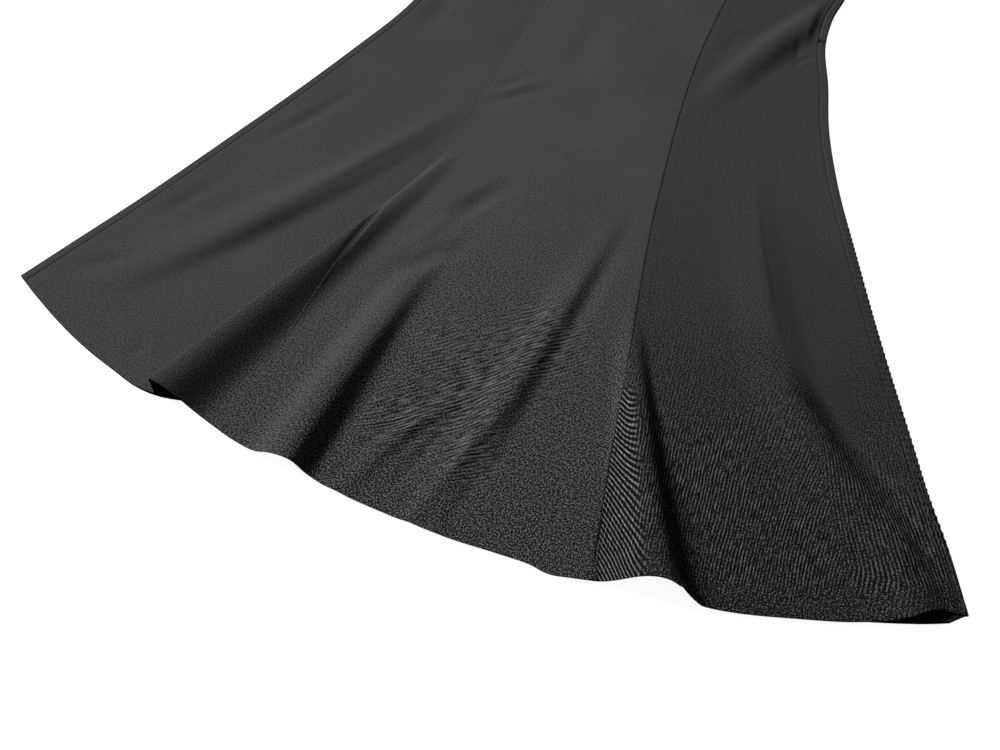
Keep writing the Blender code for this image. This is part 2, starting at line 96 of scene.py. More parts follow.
# Each fold runs from its low end to its up end.  left and right are its half widths, and full shapes its
# right side.
FOLD_KEYS = ("low_x", "low_y", "up_x", "up_y", "bow", "height", "start", "peak", "fade",
             "left", "left_up", "right", "right_up", "roll", "lean", "full")
UNITLESS = ("start", "peak", "fade", "roll", "full")
FOLDS = (
    ("left_ridge", -400, -392, -118, -15, 21, 8, 0.0, 0.45, 1.0, 45, 25, 28, 20, 0.02, 0, 1.0),
    ("left_tunnel", -251, -448, -112, -95, 0, 28, 1.0, 0.0, 0.8, 12, 9, 54, 13, 0.03, -6, 1.2),
    ("centre_left", -119, -463, -70, -165, -3, 19, 1.0, 0.0, 0.85, 46, 26, 27, 13, 0.05, 1, 1.0),
    ("streak_left", -60, -455, 14, -336, -9, 4, 0.5, 0.5, 1.0, 15, 12, 13, 10, 0.00, 0, 1.0),
    ("streak_right", 6, -452, 40, -335, 0, 4, 0.5, 0.5, 1.0, 13, 11, 13, 10, 0.00, 0, 1.0),
    ("centre_right", 22, -440, 72, -100, 0, 9, 0.2, 0.35, 1.2, 40, 20, 26, 14, 0.02, 0, 1.0),
    ("right_tunnel", 203, -457, 114, -212, 0, 38, 1.0, 0.0, 1.1, 46, 16, 43, 12, 0.03, 5, 0.5),
    ("right_step", 385, -388, 172, 20, -34, 6.5, 0.45, 0.4, 1.0, 55, 35, 30, 32, 0.00, 0, 1.0),
    ("corner_lift", 415, -400, 330, -262, 0, 10, 1.0, 0.0, 1.3, 44, 30, 28, 20, 0.00, 0, 1.0),
    ("hip_ridge", 90, 20, 220, 278, -9, 9, 0.0, 0.65, 0.8, 22, 24, 28, 30, 0.02, 0, 1.0),
)
FLANKS = {
    # fold: how fast its right side narrows up the fold, and how full that side is at the up end
    "right_tunnel": (0.5, 1.1),
}
HEM_DRAW = (
    # x, front, back
    (-445, 0, 0), (-410, -1, -1), (-372, -2, -2), (-340, -2, -2),
    (-311, -1, -1), (-275, 0, 0), (-250, 6, 6), (-232, 8, 13),
    (-205, 7.5, 10), (-170, 4, 8), (-130, 4, 14), (-112, 6, 13),
    (-80, 2, 8), (-20, -1, 3), (30, -2, 2), (80, -0.5, 5),
    (106, -1, 3), (122, -4, 2), (140, -2, 6), (155, 0, 12),
    (205, 4, 28), (232, 0, 18), (250, -2, 8), (320, -3, 1),
    (370, -4, -3), (395, -3, -5), (422, 3, -7), (436, -1, -7),
    (445, -4, -4),
)
DRAW_REACH = 170 * MM
SIDE_FADE = 14 * MM

# ---- small creases of the front, which the solids leave out ----
# A negative height is a trough.  Each runs from its low end to its up end, is highest at peak and fades out
# at both ends, apart from the share start that it keeps at the low end.
CREASE_KEYS = ("low_x", "low_y", "up_x", "up_y", "bow", "height", "start", "peak", "left", "right")
CREASES = (
    ("edge_valley_up", -323, -166, -236, -28, 6, -2.2, 0.0, 0.5, 13, 13),
    ("edge_valley_low", -374, -292, -314, -190, 3, -2.0, 0.0, 0.5, 12, 12),
    ("corner_valley", -414, -358, -334, -303, 4, -2.4, 0.0, 0.45, 14, 14),
    ("hem_dimple", -298, -416, -292, -396, 0, -1.2, 0.3, 0.5, 8, 8),
    ("top_dimple", -216, 58, -206, 130, 0, -2.1, 0.0, 0.5, 18, 20),
    ("seam_band", -172, -268, -108, -95, -5, -1.8, 0.0, 0.6, 12, 13),
    ("seam_crest", -142, -262, -62, -120, 4, 1.6, 0.0, 0.5, 12, 12),
    ("dimple_low", -122, -268, -55, -192, -3, -3.8, 0.0, 0.5, 16, 16),
    ("dimple_up", -96, -188, -36, -104, -3, -3.8, 0.0, 0.5, 16, 16),
    ("crest_shoulder", -130, -463, -90, -226, -3, 2.4, 0.1, 0.4, 26, 19),
    ("tunnel_crest", 195, -460, 106, -215, 0, 2.8, 0.0, 0.45, 16, 14),
    ("crest_end", -98, -340, -70, -150, 0, -2.8, 0.0, 0.6, 24, 14),
    ("seam_ditch", -169, -288, -139, -142, 0, -1.9, 0.0, 0.5, 6, 3),
    ("ridge_crest", -285, -272, -128, -30, 4, 1.9, 0.0, 0.6, 16, 9),
    ("trough_left", -98, -455, -62, -262, 4, -1.6, 0.6, 0.3, 12, 14),
    ("streak_trough", -29, -460, 14, -358, -4, -2.0, 0.5, 0.5, 9, 9),
    ("hem_trough", 30, -462, 36, -392, 3, -2.2, 0.4, 0.5, 12, 12),
    ("valley_right", 58, -310, 84, -95, 0, -2.2, 0.0, 0.45, 14, 16),
    ("band_ridge", 393, -360, 240, -220, 0, 4.2, 0.6, 0.45, 34, 20),
    ("thin_crease", 411, -340, 258, -200, 0, -4.2, 0.5, 0.4, 22, 9),
    ("step_edge", 262, -222, 176, 10, -7, 0.9, 0.3, 0.4, 16, 5),
    ("faint_crease", 262, -236, 244, -200, 0, -0.7, 0.0, 0.5, 8, 8),
    ("small_valley", 92, 112, 146, 210, -3, -1.2, 0.0, 0.5, 14, 13),
    ("zip_end_notch", 190, 207, 216, 204, 0, -2.6, 0.2, 0.8, 4, 4),
    ("zip_end_pucker", 185, 150, 210, 179, -5, -1.8, 0.2, 0.6, 3, 4),
    ("zip_end_fold", 188, 150, 182, 196, 0, -0.9, 0.0, 0.5, 7, 8),
    ("pucker_low", -120, -23, -38, 34, 3, -1.8, 0.0, 0.4, 10, 10),
    ("pucker_ridge", -112, -8, -52, 44, 3, 0.9, 0.0, 0.4, 8, 8),
    ("pucker_up", -113, 0, -66, 54, 5, -1.2, 0.0, 0.4, 9, 9),
    ("pucker_turn", -38, 44, -30, 158, 2, -1.9, 0.0, 0.4, 26, 30),
    ("waist_drag_left", -150, 330, -96, 436, 4, -1.2, 0.0, 0.5, 14, 13),
    ("waist_drag_mid", -20, 352, -34, 434, 0, -1.0, 0.0, 0.5, 15, 13),
    ("waist_drag_right", 132, 322, 88, 430, -5, -1.3, 0.0, 0.5, 14, 14),
    ("hip_drag", -196, 214, -118, 262, 3, -1.2, 0.0, 0.5, 13, 14),
)
CREASE_FADE = 5 * MM  # creases die out this far inside the side seams
CREASE_END = 0.05  # and over this share of their length at the low end

# ---- seams, hem and zip ----
SEAM_RIDGE = 0.28 * MM  # the left seam stands up this far
SEAM_DIP = 0.45 * MM  # the cloth rolls down into a seam this far
SEAM_ROLL = 0.9 * MM  # over this width
ALLOWANCE = 10.5 * MM  # pressed seam allowance, on the +X side of each seam
ALLOWANCE_RISE = 0.13 * MM
ALLOWANCE_EDGE = 1.8 * MM
STITCH_ABOVE_HEM = 9.5 * MM
STITCH_DIP = 0.22 * MM
STITCH_DIP_WIDTH = 1.6 * MM
HEM_RISE = 0.16 * MM  # the turned-up hem stands this much prouder
ROPE_PITCH = 5.4 * MM  # small puckers along the right edge
ROPE_RISE = 1.0 * MM
ROPE_WINDOW = (-350 * MM, -20 * MM, 30 * MM, 40 * MM)
ROPE_DRIFT = 1.5  # the puckers' spacing varies by this angle
ROPE_DRIFT_RATE = 90.0
ROPE_AT_SEAM = 2 * MM  # they start this far from the seam
EDGE_SWELL = 0.7  # and go round the folded edge this strongly
ROPE_ROWS = 250
ZIP_END_Y = 200 * MM
NOTCH_Y = 204 * MM  # where the edge is pinched at the end of the zip
NOTCH_DEPTH = 3.2 * MM
NOTCH_WIDTH = 2.2 * MM
NOTCH_EDGE_WIDTH = 3 * MM
NOTCH_LEAN = 0.25
LIP_RISE = 0.3 * MM  # lips of cloth that close over the concealed zip
LIP_WIDTH = 2.2 * MM
LIP_SPREAD = 0.7 * LIP_WIDTH
LIP_FADE = 15 * MM
THINNEST = 0.3 * MM  # the least that a front piece keeps between its two sides

# ---- grid ----
GORE_ROWS = 250
HEM_ROWS = 13  # close together over the turned-up hem
HEM_ROWS_SPAN = 1.5 * HEM_TURN
BAND_ROWS = 16
COLUMNS = {"front_left": 104, "front_centre": 128, "front_right": 136}
GUIDES = {
    # gore: its guiding fold, the column on the crest, and that column's place once the fold is over
    "front_left": ("left_tunnel", 70, 0.68),
    "front_centre": ("centre_left", 40, 0.30),
    "front_right": ("right_tunnel", 44, 0.34),
}
SEAM_COLUMNS = (0.0, 0.5 * MM, 1.1 * MM, 1.9 * MM, 3.0 * MM)
GUIDE_MARGIN = 5 * MM
GUIDE_SEARCH = 60 * MM
GUIDE_FREE = (0.7, 0.6)  # the columns leave the crest from this share on, over this share
CROWDING = 4.0
CROWDING_REACH = 1.1
LINE_SAMPLES = 321
PLAN_STEPS = 6
NORMAL_STEP = 0.2 * MM
BAND_COLUMNS = 120
BACK_COLUMNS = 26
EDGE_STEPS = 14
LAP_STEPS = 7
ROUND_STEPS = (28, 56, 80)  # degrees round the hem's edge and the waist's

# ---- stitches ----
THREAD_SIDES = 6
THREAD_STATIONS = ((-1.0, 0.25), (-0.7, 0.8), (0.0, 1.0), (0.7, 0.8), (1.0, 0.25))  # place and size
HEM_STITCH = (1.15 * MM, 0.24 * MM)  # half length and radius
HEM_STITCH_PITCH = 3.3 * MM
HEM_STITCH_RISE = HEM_RISE / 2 - STITCH_DIP + 0.12 * MM
HEM_STITCH_END = 2 * MM
HEM_SAMPLES = 600
SEAM_SAMPLES = 900
SEAM_STITCH = (0.75 * MM, 0.2 * MM)
SEAM_STITCH_PITCH = 3.0 * MM
SEAM_STITCH_RISE = -SEAM_DIP + 0.1 * MM
SEAM_SLANT = (0.55, 0.84)  # along the seam and across it
SEAM_SPAN = (0.08, 0.995)  # cross lines between which the seam's stitches show
STITCH_STEP = 0.3 * MM

# ---- zip pull and slider ----
SLIDER_DROP = 9 * MM
SLIDER_LENGTH = 10 * MM
SLIDER_WIDTH = 6 * MM
SLIDER_BASE = 1.2 * MM
SLIDER_CORNER = 1.8 * MM
CORNER_STEPS = 8
ARCH_WIDTH = 2.0 * MM
ARCH_REACH = 2.9 * MM
ARCH_WALL = 0.8 * MM
ARCH_CLEAR = 1.1 * MM
ARCH_STEPS = 16
PLATE_BEVEL = 0.35 * MM
ARCH_BEVEL = 0.15 * MM
PULL_BEVEL = 0.22 * MM
PULL_THICKNESS = 1.2 * MM
PULL_BAR = 0.9 * MM
PULL_EYE = 4.15 * MM
PULL_EYE_HALF = 1.5 * MM
PIVOT_RISE = SEAM_GAP + SLIDER_BASE + SEAM_GAP + PULL_THICKNESS / 2
PULL_OUTLINE = (
    # along, half_width
    (-0.45, 2.1),
    (0.2, 2.7),
    (4.6, 2.7),
    (6.4, 1.9),
    (9.0, 1.7),
    (13.0, 2.3),
    (17.0, 2.8),
    (20.0, 2.5),
    (21.6, 1.5),
    (22.2, 0.0),
)

# ---- looks ----
CLOTH_DARK = (0.006, 0.006, 0.0063, 1.0)
CLOTH_LIGHT = (0.080, 0.081, 0.085, 1.0)
THREAD = (0.020, 0.0203, 0.0215, 1.0)
METAL = (0.12, 0.12, 0.13, 1.0)
METAL_DARK = (0.07, 0.07, 0.075, 1.0)
FLOOR_COLOUR = (0.93, 0.93, 0.93, 1.0)
WHITE = (1.0, 1.0, 1.0, 1.0)
TWILL_PITCH = 1.15 * MM
TWILL_RUN = (0.82, 0.57)
TWILL_DEPTH = 0.35
CREPE = (900.0, 2.0, 0.6)  # scale, detail and roughness of each noise
SPECKLE = (700.0, 1.0, 0.6)
CLOUDS = (9.0, 3.0, 0.5)
WOBBLE = (11.0, 2.0)
PATCHES = (17.0, 1.0)
WOBBLE_REACH = 11 * MM  # ribs and ripples wander this far
RIB_PITCH = 3.7 * MM
FINE_RIB_PITCH = 3.0 * MM
RIPPLE_PITCH = 3.8 * MM
RIB_BREAK = (0.45, 0.4)  # how broken up the left and the right ribs are
FLECK_DEPTH = 3.8  # how far the grain, the ribs and the ripples change the shade
RIB_DEPTH = 3.3
RIPPLE_DEPTH = 6.2
STREAK_STRETCH = 0.18  # broken ribs and ripples: how long their streaks are, how fine and how sharp
STREAK_SCALE = 1.7
STREAK_RANGE = (0.32, 0.68)
STRIP_MASK = 0.75  # the ripples hide up to this share of the grain
WEAVE_BUMP = 0.35 * MM
GRAIN_BUMP = 2.0 * MM
RIB_BUMP = (0.7, 1.5 * MM)  # strength and height
RIPPLE_BUMP = 2.2 * MM
# How grainy and how ribbed the cloth is down the skirt, and its shade, on each gore. The right gore's shade
# falling towards the hem is painted shade, standing in for the light's falloff and the dark side of the right
# tunnel; the centre gore's shade is a little lighter than the left's.
LOOK_KEYS = ("y", "grain_left", "grain_centre", "grain_right", "ribs_right",
             "shade_left", "shade_centre", "shade_right")
LOOKS = (
    (471, 0.05, 0.05, 0.05, 0.00, 0.96, 1.09, 0.85),
    (200, 0.05, 0.05, 0.05, 0.00, 0.96, 1.09, 0.85),
    (0, 0.06, 0.07, 0.07, 0.00, 0.97, 1.09, 0.81),
    (-80, 0.07, 0.12, 0.10, 0.01, 0.98, 1.10, 0.74),
    (-140, 0.08, 0.22, 0.14, 0.03, 0.98, 1.10, 0.68),
    (-200, 0.10, 0.40, 0.26, 0.07, 0.98, 1.09, 0.61),
    (-260, 0.12, 0.60, 0.42, 0.25, 0.98, 1.09, 0.52),
    (-320, 0.15, 0.85, 0.58, 0.82, 0.98, 1.09, 0.31),
    (-380, 0.20, 1.10, 0.70, 1.15, 0.97, 1.08, 0.15),
    (-450, 0.30, 1.35, 0.85, 1.25, 0.97, 1.05, 0.08),
)
SIDES = ("left", "centre", "right")
FLANK_X = (-250 * MM, -190 * MM)  # the left gore turns grainy between these, on its fold
FLANK_GRAIN = 0.45  # by this share of the centre's grain
RIPPLED = (
    # share, x, y, reach of the ripples on the centre gore
    (0.50, -45 * MM, -392 * MM, 34 * MM),
    (0.46, 5 * MM, -345 * MM, 38 * MM),
    (0.46, 45 * MM, -276 * MM, 40 * MM),
    (0.48, 28 * MM, -402 * MM, 28 * MM),
    (0.20, -38 * MM, -300 * MM, 34 * MM),
)
CENTRE_RIPPLE = (-0.67, 0.74)  # across the ripples, on the cut
STRIP_RIPPLE = (0.45, 1.05, 0.8)  # across the strip's ripples: sideways at its top and hem, and up
STRIP_SPAN = (-270 * MM, -460 * MM)
STRIP_ACROSS = (-0.97, -0.02, 0.1, 0.4)  # window of the strip across the right tunnel
STRIP_ALONG = (-0.1, 0.72, 0.05, 0.1)  # and along it
STRIP_STRENGTH = 1.25
LOOSE = {"left": 0.6, "centre": 0.6, "right": 0.3}  # how broken up the ripples are
CALM = (
    # y, left end of the smooth cloth right of the ribs
    (-60, 203),
    (-131, 219),
    (-183, 234),
    (-230, 277),
    (-298, 351),
    (-340, 395),
)
CALM_SHARP = 5 * MM
CALM_TO_EDGE = 40 * MM  # the smooth cloth ends this far from the folded edge
CALM_FADE = 14 * MM
CALM_END = (-320 * MM, 60 * MM)  # and down the skirt here, over this length
CALM_GRAIN = 0.6  # shares of the grain and the ribs that it lacks
CALM_RIBS = 0.85
RIBS_END = 32 * MM  # the ribs fade into grain this near the hem
RIBS_END_FADE = 20 * MM
END_GRAIN = 0.35
END_RIBS = 0.65
PAINTED_SHADE_BAND = ((400 * MM, -362 * MM), (250 * MM, -207 * MM))  # the line of a band of painted shade along the dark side of a fold, where the ribs are also stronger
BAND_REACH = 13 * MM
BAND_START = (-200 * MM, 50 * MM)
# How much darker the band is: painted shade.
BAND_PAINTED_SHADE = 0.6
BAND_RIBS = 0.25
CREST_X = (-119 * MM, -463 * MM, 0.164)  # the centre's grain starts at this line: a point and its slope
CREST_BLEND = 20 * MM
CREST_EARLY = 0.3
CREST_GRAIN = 0.5
# The inner side is painted darker: its lower shade is painted shade for the cloth seen inside the openings at
# the hem, where little light gets in.
INNER_SIDE_PAINTED_SHADE_AND_GRAIN = {"shade": 0.35, "grain": 0.4, "rib": 0.0, "strip": 0.0}  # shares kept on the inner side
RIB_LEAN = (0.13, 0.25, -300 * MM)  # lean of the left ribs at the seam, its drop, and the y of their grid
RIB_AXIS = (272 * MM, -228 * MM, -0.483)  # where the ribs' directions meet: a point and a slope
RIB_BLEND = 9 * MM


# ---- tables ----
def column(table, index):
    """One column of a table in metres, ordered so that its first column rises."""
    values = np.array([row[index] for row in table], float) * MM
    keys = np.array([row[0] for row in table], float) * MM
    order = np.argsort(keys)
    return keys[order], values[order]


def smooth(table, index, at):
    """Reads a table's column at a key along a smooth curve through its rows."""
    keys, values = column(table, index)
    slopes = np.gradient(values, keys)
    at = np.clip(np.asarray(at, float), keys[0], keys[-1])
    cell = np.clip(np.searchsorted(keys, at) - 1, 0, len(keys) - 2)
    width = keys[cell + 1] - keys[cell]
    t = (at - keys[cell]) / width
    rise = (1 + 2 * t) * (1 - t) ** 2 * values[cell] + t * t * (3 - 2 * t) * values[cell + 1]
    bend = t * (1 - t) ** 2 * slopes[cell] - t * t * (1 - t) * slopes[cell + 1]
    return rise + width * bend


def limited(value):
    """A value held between 0 and 1."""
    return np.clip(value, 0.0, 1.0)


def ease(value):
    """Rises smoothly from 0 at 0 to 1 at 1."""
    value = limited(value)
    return value * value * (3 - 2 * value)


def bump(distance, width):
    """1 at no distance, falling softly over a width."""
    return np.exp(-(distance / width) ** 2)


def window(value, low, high, low_fade, high_fade):
    """0 outside low and high and 1 between them, with a soft change inside each."""
    return ease((value - low) / low_fade) * ease((high - value) / high_fade)


def between(start, end, share):
    """The place a share of the way from a start to an end."""
    return start * (1 - share) + end * share


def unit(vectors):
    """Vectors brought to a length of 1."""
    return vectors / np.linalg.norm(vectors, axis=-1, keepdims=True)


def read_rows(rows, keys):
    """A table of folds or creases by name, lengths in metres."""
    return {name: {key: value if key in UNITLESS else value * MM for key, value in zip(keys, values)}
            for name, *values in rows}


FOLD_SHAPES = read_rows(FOLDS, FOLD_KEYS)
for fold_name, fold in FOLD_SHAPES.items():
    fold["narrowing"], fold["full_up"] = FLANKS.get(fold_name, (1.0, fold["full"]))
CREASE_SHAPES = read_rows(CREASES, CREASE_KEYS)
for crease in CREASE_SHAPES.values():
    crease.update(left_up=crease["left"], right_up=crease["right"], fade=1.0, narrowing=1.0)


# ---- plan of the skirt ----
def edge_y(v):
    """Height of cross line v where it meets the sides: 0 at the waist and 1 at the hem."""
    return TOP_Y - LENGTH * v


def across(v, name):
    """Place of a folded edge or a seam on cross line v."""
    return smooth(SECTIONS, SECTION_KEYS.index(name), edge_y(v))


def cross_line(y):
    """Cross line whose ends lie at y."""
    return limited((TOP_Y - y) / LENGTH)


def width_share(v, x):
    """0 at the middle of cross line v, 1 at its folded edges."""
    left = across(v, "left")
    right = across(v, "right")
    return limited(np.abs((x - (left + right) / 2) / ((right - left) / 2)))


def row_y(v, x, draw_index):
    """Where cross line v lies at x, drawn up near the hem."""
    sag = WAIST_SAG + (HEM_SAG - WAIST_SAG) * v ** SAG_POWER
    arc = edge_y(v) - sag * (1 - width_share(v, x) ** ARC_POWER)
    above_hem = (1 - v) * LENGTH
    return arc + smooth(HEM_DRAW, draw_index, x) * ease(1 - above_hem / DRAW_REACH)


# ---- front surface ----
def fold_place(fold, x, y):
    """Where a point lies along and across a fold, and the fold's direction."""
    run = np.array([fold["up_x"] - fold["low_x"], fold["up_y"] - fold["low_y"]])
    length = math.hypot(*run)
    run = run / length
    along = ((x - fold["low_x"]) * run[0] + (y - fold["low_y"]) * run[1]) / length
    off = (x - fold["low_x"]) * run[1] - (y - fold["low_y"]) * run[0]
    held = limited(along)
    return along, off - 4 * fold["bow"] * held * (1 - held), run


def fold_height(fold, along):
    """Height of a fold's crest along its length."""
    rise = fold["start"] + (1 - fold["start"]) * ease(along / max(fold["peak"], 1e-6))
    left_over = limited((1 - along) / (1 - fold["peak"]))
    return fold["height"] * rise * left_over ** fold["fade"]


def fold_share(fold, x, y):
    """Signed share of the half width: 0 on the crest and 1 or -1 at the feet."""
    along, off, run = fold_place(fold, x, y)
    held = limited(along)
    left = fold["left"] + (fold["left_up"] - fold["left"]) * held
    right = fold["right"] + (fold["right_up"] - fold["right"]) * held ** fold["narrowing"]
    half = np.where(off < 0, left, right)
    return along, np.clip(off / half, -1.0, 1.0), half, run


def fold_move(fold, x, y):
    """How a fold moves points of the flat front."""
    along, share, half, run = fold_share(fold, x, y)
    height = fold_height(fold, along)
    full = fold["full"] + (fold["full_up"] - fold["full"]) * limited(along) ** fold["narrowing"]
    bell = ((1 + np.cos(np.pi * share)) / 2) ** np.where(share > 0, full, 1.0)
    strength = limited(height / fold["height"])
    aside = strength * (half * fold["roll"] * np.sin(2 * np.pi * share) + fold["lean"] * bell)
    return aside * run[1], -aside * run[0], height * bell


def crease_lift(crease, x, y):
    """How high a crease lifts points of the front, or sinks them."""
    along, share, _, _ = fold_share(crease, x, y)
    height = fold_height(crease, along) * ease(along / CREASE_END + crease["start"])
    return height * (1 + np.cos(np.pi * share)) / 2


def front_point(x, y):
    """Outer surface of the front layer over the plan point x, y."""
    v = cross_line(y)
    for _ in range(PLAN_STEPS):
        v = limited(v + (row_y(v, x, 1) - y) / LENGTH)
    share = width_share(v, x)
    half = (across(v, "right") - across(v, "left")) / 2
    inset = (1 - share) * half - SEAM_INSET
    inside = ease(inset / SIDE_FADE)
    lift = BASE_Z + smooth(PILLOW, 1, edge_y(v)) * limited(1 - share ** 2) ** PILLOW_POWER
    moved_x = np.array(x, float)
    moved_y = np.array(y, float)
    for fold in FOLD_SHAPES.values():
        move_x, move_y, move_z = fold_move(fold, x, y)
        moved_x = moved_x + inside * move_x
        moved_y = moved_y + inside * move_y
        lift = lift + inside * move_z
    near = ease(inset / CREASE_FADE)
    for crease in CREASE_SHAPES.values():
        lift = lift + near * crease_lift(crease, x, y)
    return np.stack([moved_x, moved_y, lift], axis=-1)


def front_normal(x, y):
    """Upward normal of the front surface."""
    run_x = front_point(x + NORMAL_STEP, y) - front_point(x - NORMAL_STEP, y)
    run_y = front_point(x, y + NORMAL_STEP) - front_point(x, y - NORMAL_STEP)
    return unit(np.cross(run_x, run_y))


# ---- grids ----
def gore_rows():
    """Cross lines of a gore, from the waistband's seam to where the hem edge turns."""
    first = (BAND_DEPTH + SEAM_GAP / 2) / LENGTH
    last = 1 - HEM_WALL / 2 / LENGTH
    turn = 1 - HEM_ROWS_SPAN / LENGTH
    return np.concatenate([np.linspace(first, turn, GORE_ROWS)[:-1], np.linspace(turn, last, HEM_ROWS)])


def band_rows():
    """Cross lines of the waistband, from where its top edge turns to its seam."""
    first = BAND_WALL / 2 / LENGTH
    return np.linspace(first, (BAND_DEPTH - SEAM_GAP / 2) / LENGTH, BAND_ROWS + 1)


def gore_wall(v):
    """Thickness of a gore on cross lines v: the hem is turned up."""
    above_hem = (1 - v) * LENGTH
    return WALL + (HEM_WALL - WALL) * ease((HEM_TURN + HEM_STEP - above_hem) / HEM_STEP)


def crowded(v, start, end, count):
    """Columns between two places on cross line v, denser on the crests of the folds."""
    x = np.linspace(start, end, LINE_SAMPLES)
    y = row_y(v, x, 1)
    weight = np.ones_like(x)
    for fold in FOLD_SHAPES.values():
        along, off, _ = fold_place(fold, x, y)
        held = limited(along)
        low_half = (fold["left"] + fold["right"]) / 2
        up_half = (fold["left_up"] + fold["right_up"]) / 2
        half = between(low_half, up_half, held)
        steep = np.clip(fold_height(fold, along), 0.0, None) / half
        weight = weight + CROWDING * steep * np.exp(-(off / (CROWDING_REACH * half)) ** 2)
    total = np.concatenate([[0.0], np.cumsum((weight[1:] + weight[:-1]) / 2)])
    return np.interp(np.linspace(0.0, total[-1], count + 1), total, x)


def guided(v, start, end, name):
    """Columns of a front gore on cross line v, with one of them on the crest of its guiding fold."""
    fold_name, place, share = GUIDES[name]
    fold = FOLD_SHAPES[fold_name]
    x = np.linspace(start - GUIDE_SEARCH, end + GUIDE_SEARCH, LINE_SAMPLES)
    along, off, _ = fold_place(fold, x, row_y(v, x, 1))
    crest = float(np.interp(0.0, off, x))
    passed = float(ease((np.interp(0.0, off, along) - GUIDE_FREE[0]) / GUIDE_FREE[1]))
    crest = between(crest, start + share * (end - start), passed)
    crest = min(max(crest, start + GUIDE_MARGIN), end - GUIDE_MARGIN)
    below = crowded(v, start, crest, place)
    above = crowded(v, crest, end, COLUMNS[name] - place)
    return np.concatenate([below, above[1:]])


def seamed(v, start, end, name):
    """Columns of a front gore on cross line v, close together beside its seams."""
    edge = np.array(SEAM_COLUMNS)
    inner = guided(v, start + edge[-1], end - edge[-1], name)
    return np.concatenate([start + edge[:-1], inner, end - edge[-2::-1]])


def line(name, offset=0.0, hem_offset=None):
    """A line of the cut, moved across by an offset that may change to another one at the hem."""
    low = offset if hem_offset is None else hem_offset

    def place(v):
        opened = ease((1 - v) * LENGTH / GROOVE_CLOSING - GROOVE_CLOSED)
        return across(v, name) + low + (offset - low) * opened
    return place


def rounded(outer, inner):
    """Adds the rows of a round edge after the last row of a piece's two grids."""
    middle = (outer[-1] + inner[-1]) / 2
    half = (outer[-1] - inner[-1]) / 2
    reach = np.linalg.norm(half, axis=-1, keepdims=True)
    angles = np.radians(ROUND_STEPS)[:, None, None]
    aside = half * np.cos(angles)
    beyond = unit(outer[-1] - outer[-2]) * reach * np.sin(angles)
    return np.concatenate([outer, middle + aside + beyond]), np.concatenate([inner, middle - aside + beyond])


def placed(name, data):
    """A new object in the scene."""
    made = bpy.data.objects.new(name, data)
    bpy.context.scene.collection.objects.link(made)
    return made


def shell(node, outer, inner):
    """A closed shell from its two grids, with a round free edge, UVs of the flat cut and its looks."""
    if node.startswith("waistband"):
        outer, inner = (grid[::-1] for grid in rounded(outer[::-1], inner[::-1]))
    else:
        outer, inner = rounded(outer, inner)
    name = node + "_cloth"
    cut = cut_of(outer)
    rows, columns = outer.shape[:2]
    count = rows * columns
    index = np.arange(count).reshape(rows, columns)
    a, b, c, d = index[:-1, :-1], index[1:, :-1], index[1:, 1:], index[:-1, 1:]
    top = np.stack([a, b, c, d], axis=-1).reshape(-1, 4)
    low = np.stack([a, d, c, b], axis=-1).reshape(-1, 4) + count

    def rim(edge, turned):
        near, far = edge[:-1], edge[1:]
        corners = (near, near + count, far + count, far) if turned else (near, far, far + count, near + count)
        return np.stack(corners, axis=-1)
    rims = [rim(index[:, 0], True), rim(index[:, -1], False), rim(index[0], False), rim(index[-1], True)]
    faces = np.concatenate([top, low, *rims])
    points = np.concatenate([outer.reshape(-1, 3), inner.reshape(-1, 3)])
    mesh = bpy.data.meshes.new(name)
    mesh.vertices.add(len(points))
    mesh.vertices.foreach_set("co", points.astype(np.float32).ravel())
    mesh.loops.add(faces.size)
    mesh.loops.foreach_set("vertex_index", faces.astype(np.int32).ravel())
    mesh.polygons.add(len(faces))
    mesh.polygons.foreach_set("loop_start", np.arange(0, faces.size, 4, dtype=np.int32))
    mesh.update(calc_edges=True)
    layer = mesh.uv_layers.new(name="cut")
    both = np.concatenate([cut.reshape(-1, 2)] * 2)
    layer.data.foreach_set("uv", both[faces.ravel()].astype(np.float32).ravel())
    for key, values in looks_of(node, outer[..., 0], outer[..., 1], cut).items():
        attribute = mesh.attributes.new(key, "FLOAT", "POINT")
        # The inner side keeps only shares of the looks; its darker shade is painted shade.
        both = np.concatenate([values.ravel(), values.ravel() * INNER_SIDE_PAINTED_SHADE_AND_GRAIN.get(key, 1.0)])
        attribute.data.foreach_set("value", both.astype(np.float32))
    turn_out(mesh)
    mesh.shade_smooth()
    return placed(name, mesh)


def turn_out(mesh):
    """Turns a closed mesh's faces out."""
    shape = bmesh.new()
    shape.from_mesh(mesh)
    if shape.calc_volume(signed=True) < 0:
        bmesh.ops.reverse_faces(shape, faces=shape.faces)
        shape.to_mesh(mesh)
    shape.free()


# ---- cloth details ----
def seam_profile(to_seam, kind):
    """Rise of the cloth beside a seam: the left one is pressed up to a fine ridge, the others are sunk."""
    if kind == "none":
        return 0.0 * to_seam
    if kind == "ridge":
        return SEAM_RIDGE * bump(to_seam - SEAM_ROLL, SEAM_ROLL)
    return -SEAM_DIP * bump(to_seam, SEAM_ROLL)


def allowance(to_seam):
    """Rise of the cloth over the seam allowance pressed under it."""
    return ALLOWANCE_RISE * ease((ALLOWANCE - to_seam) / ALLOWANCE_EDGE)


def hem_profile(above_hem):
    """Rise of the cloth over the turned-up hem, with the dip of its stitches."""
    turned = HEM_RISE * ease((STITCH_ABOVE_HEM + STITCH_DIP_WIDTH - above_hem) / STITCH_DIP_WIDTH)
    return turned - STITCH_DIP * bump(above_hem - STITCH_ABOVE_HEM, STITCH_DIP_WIDTH)


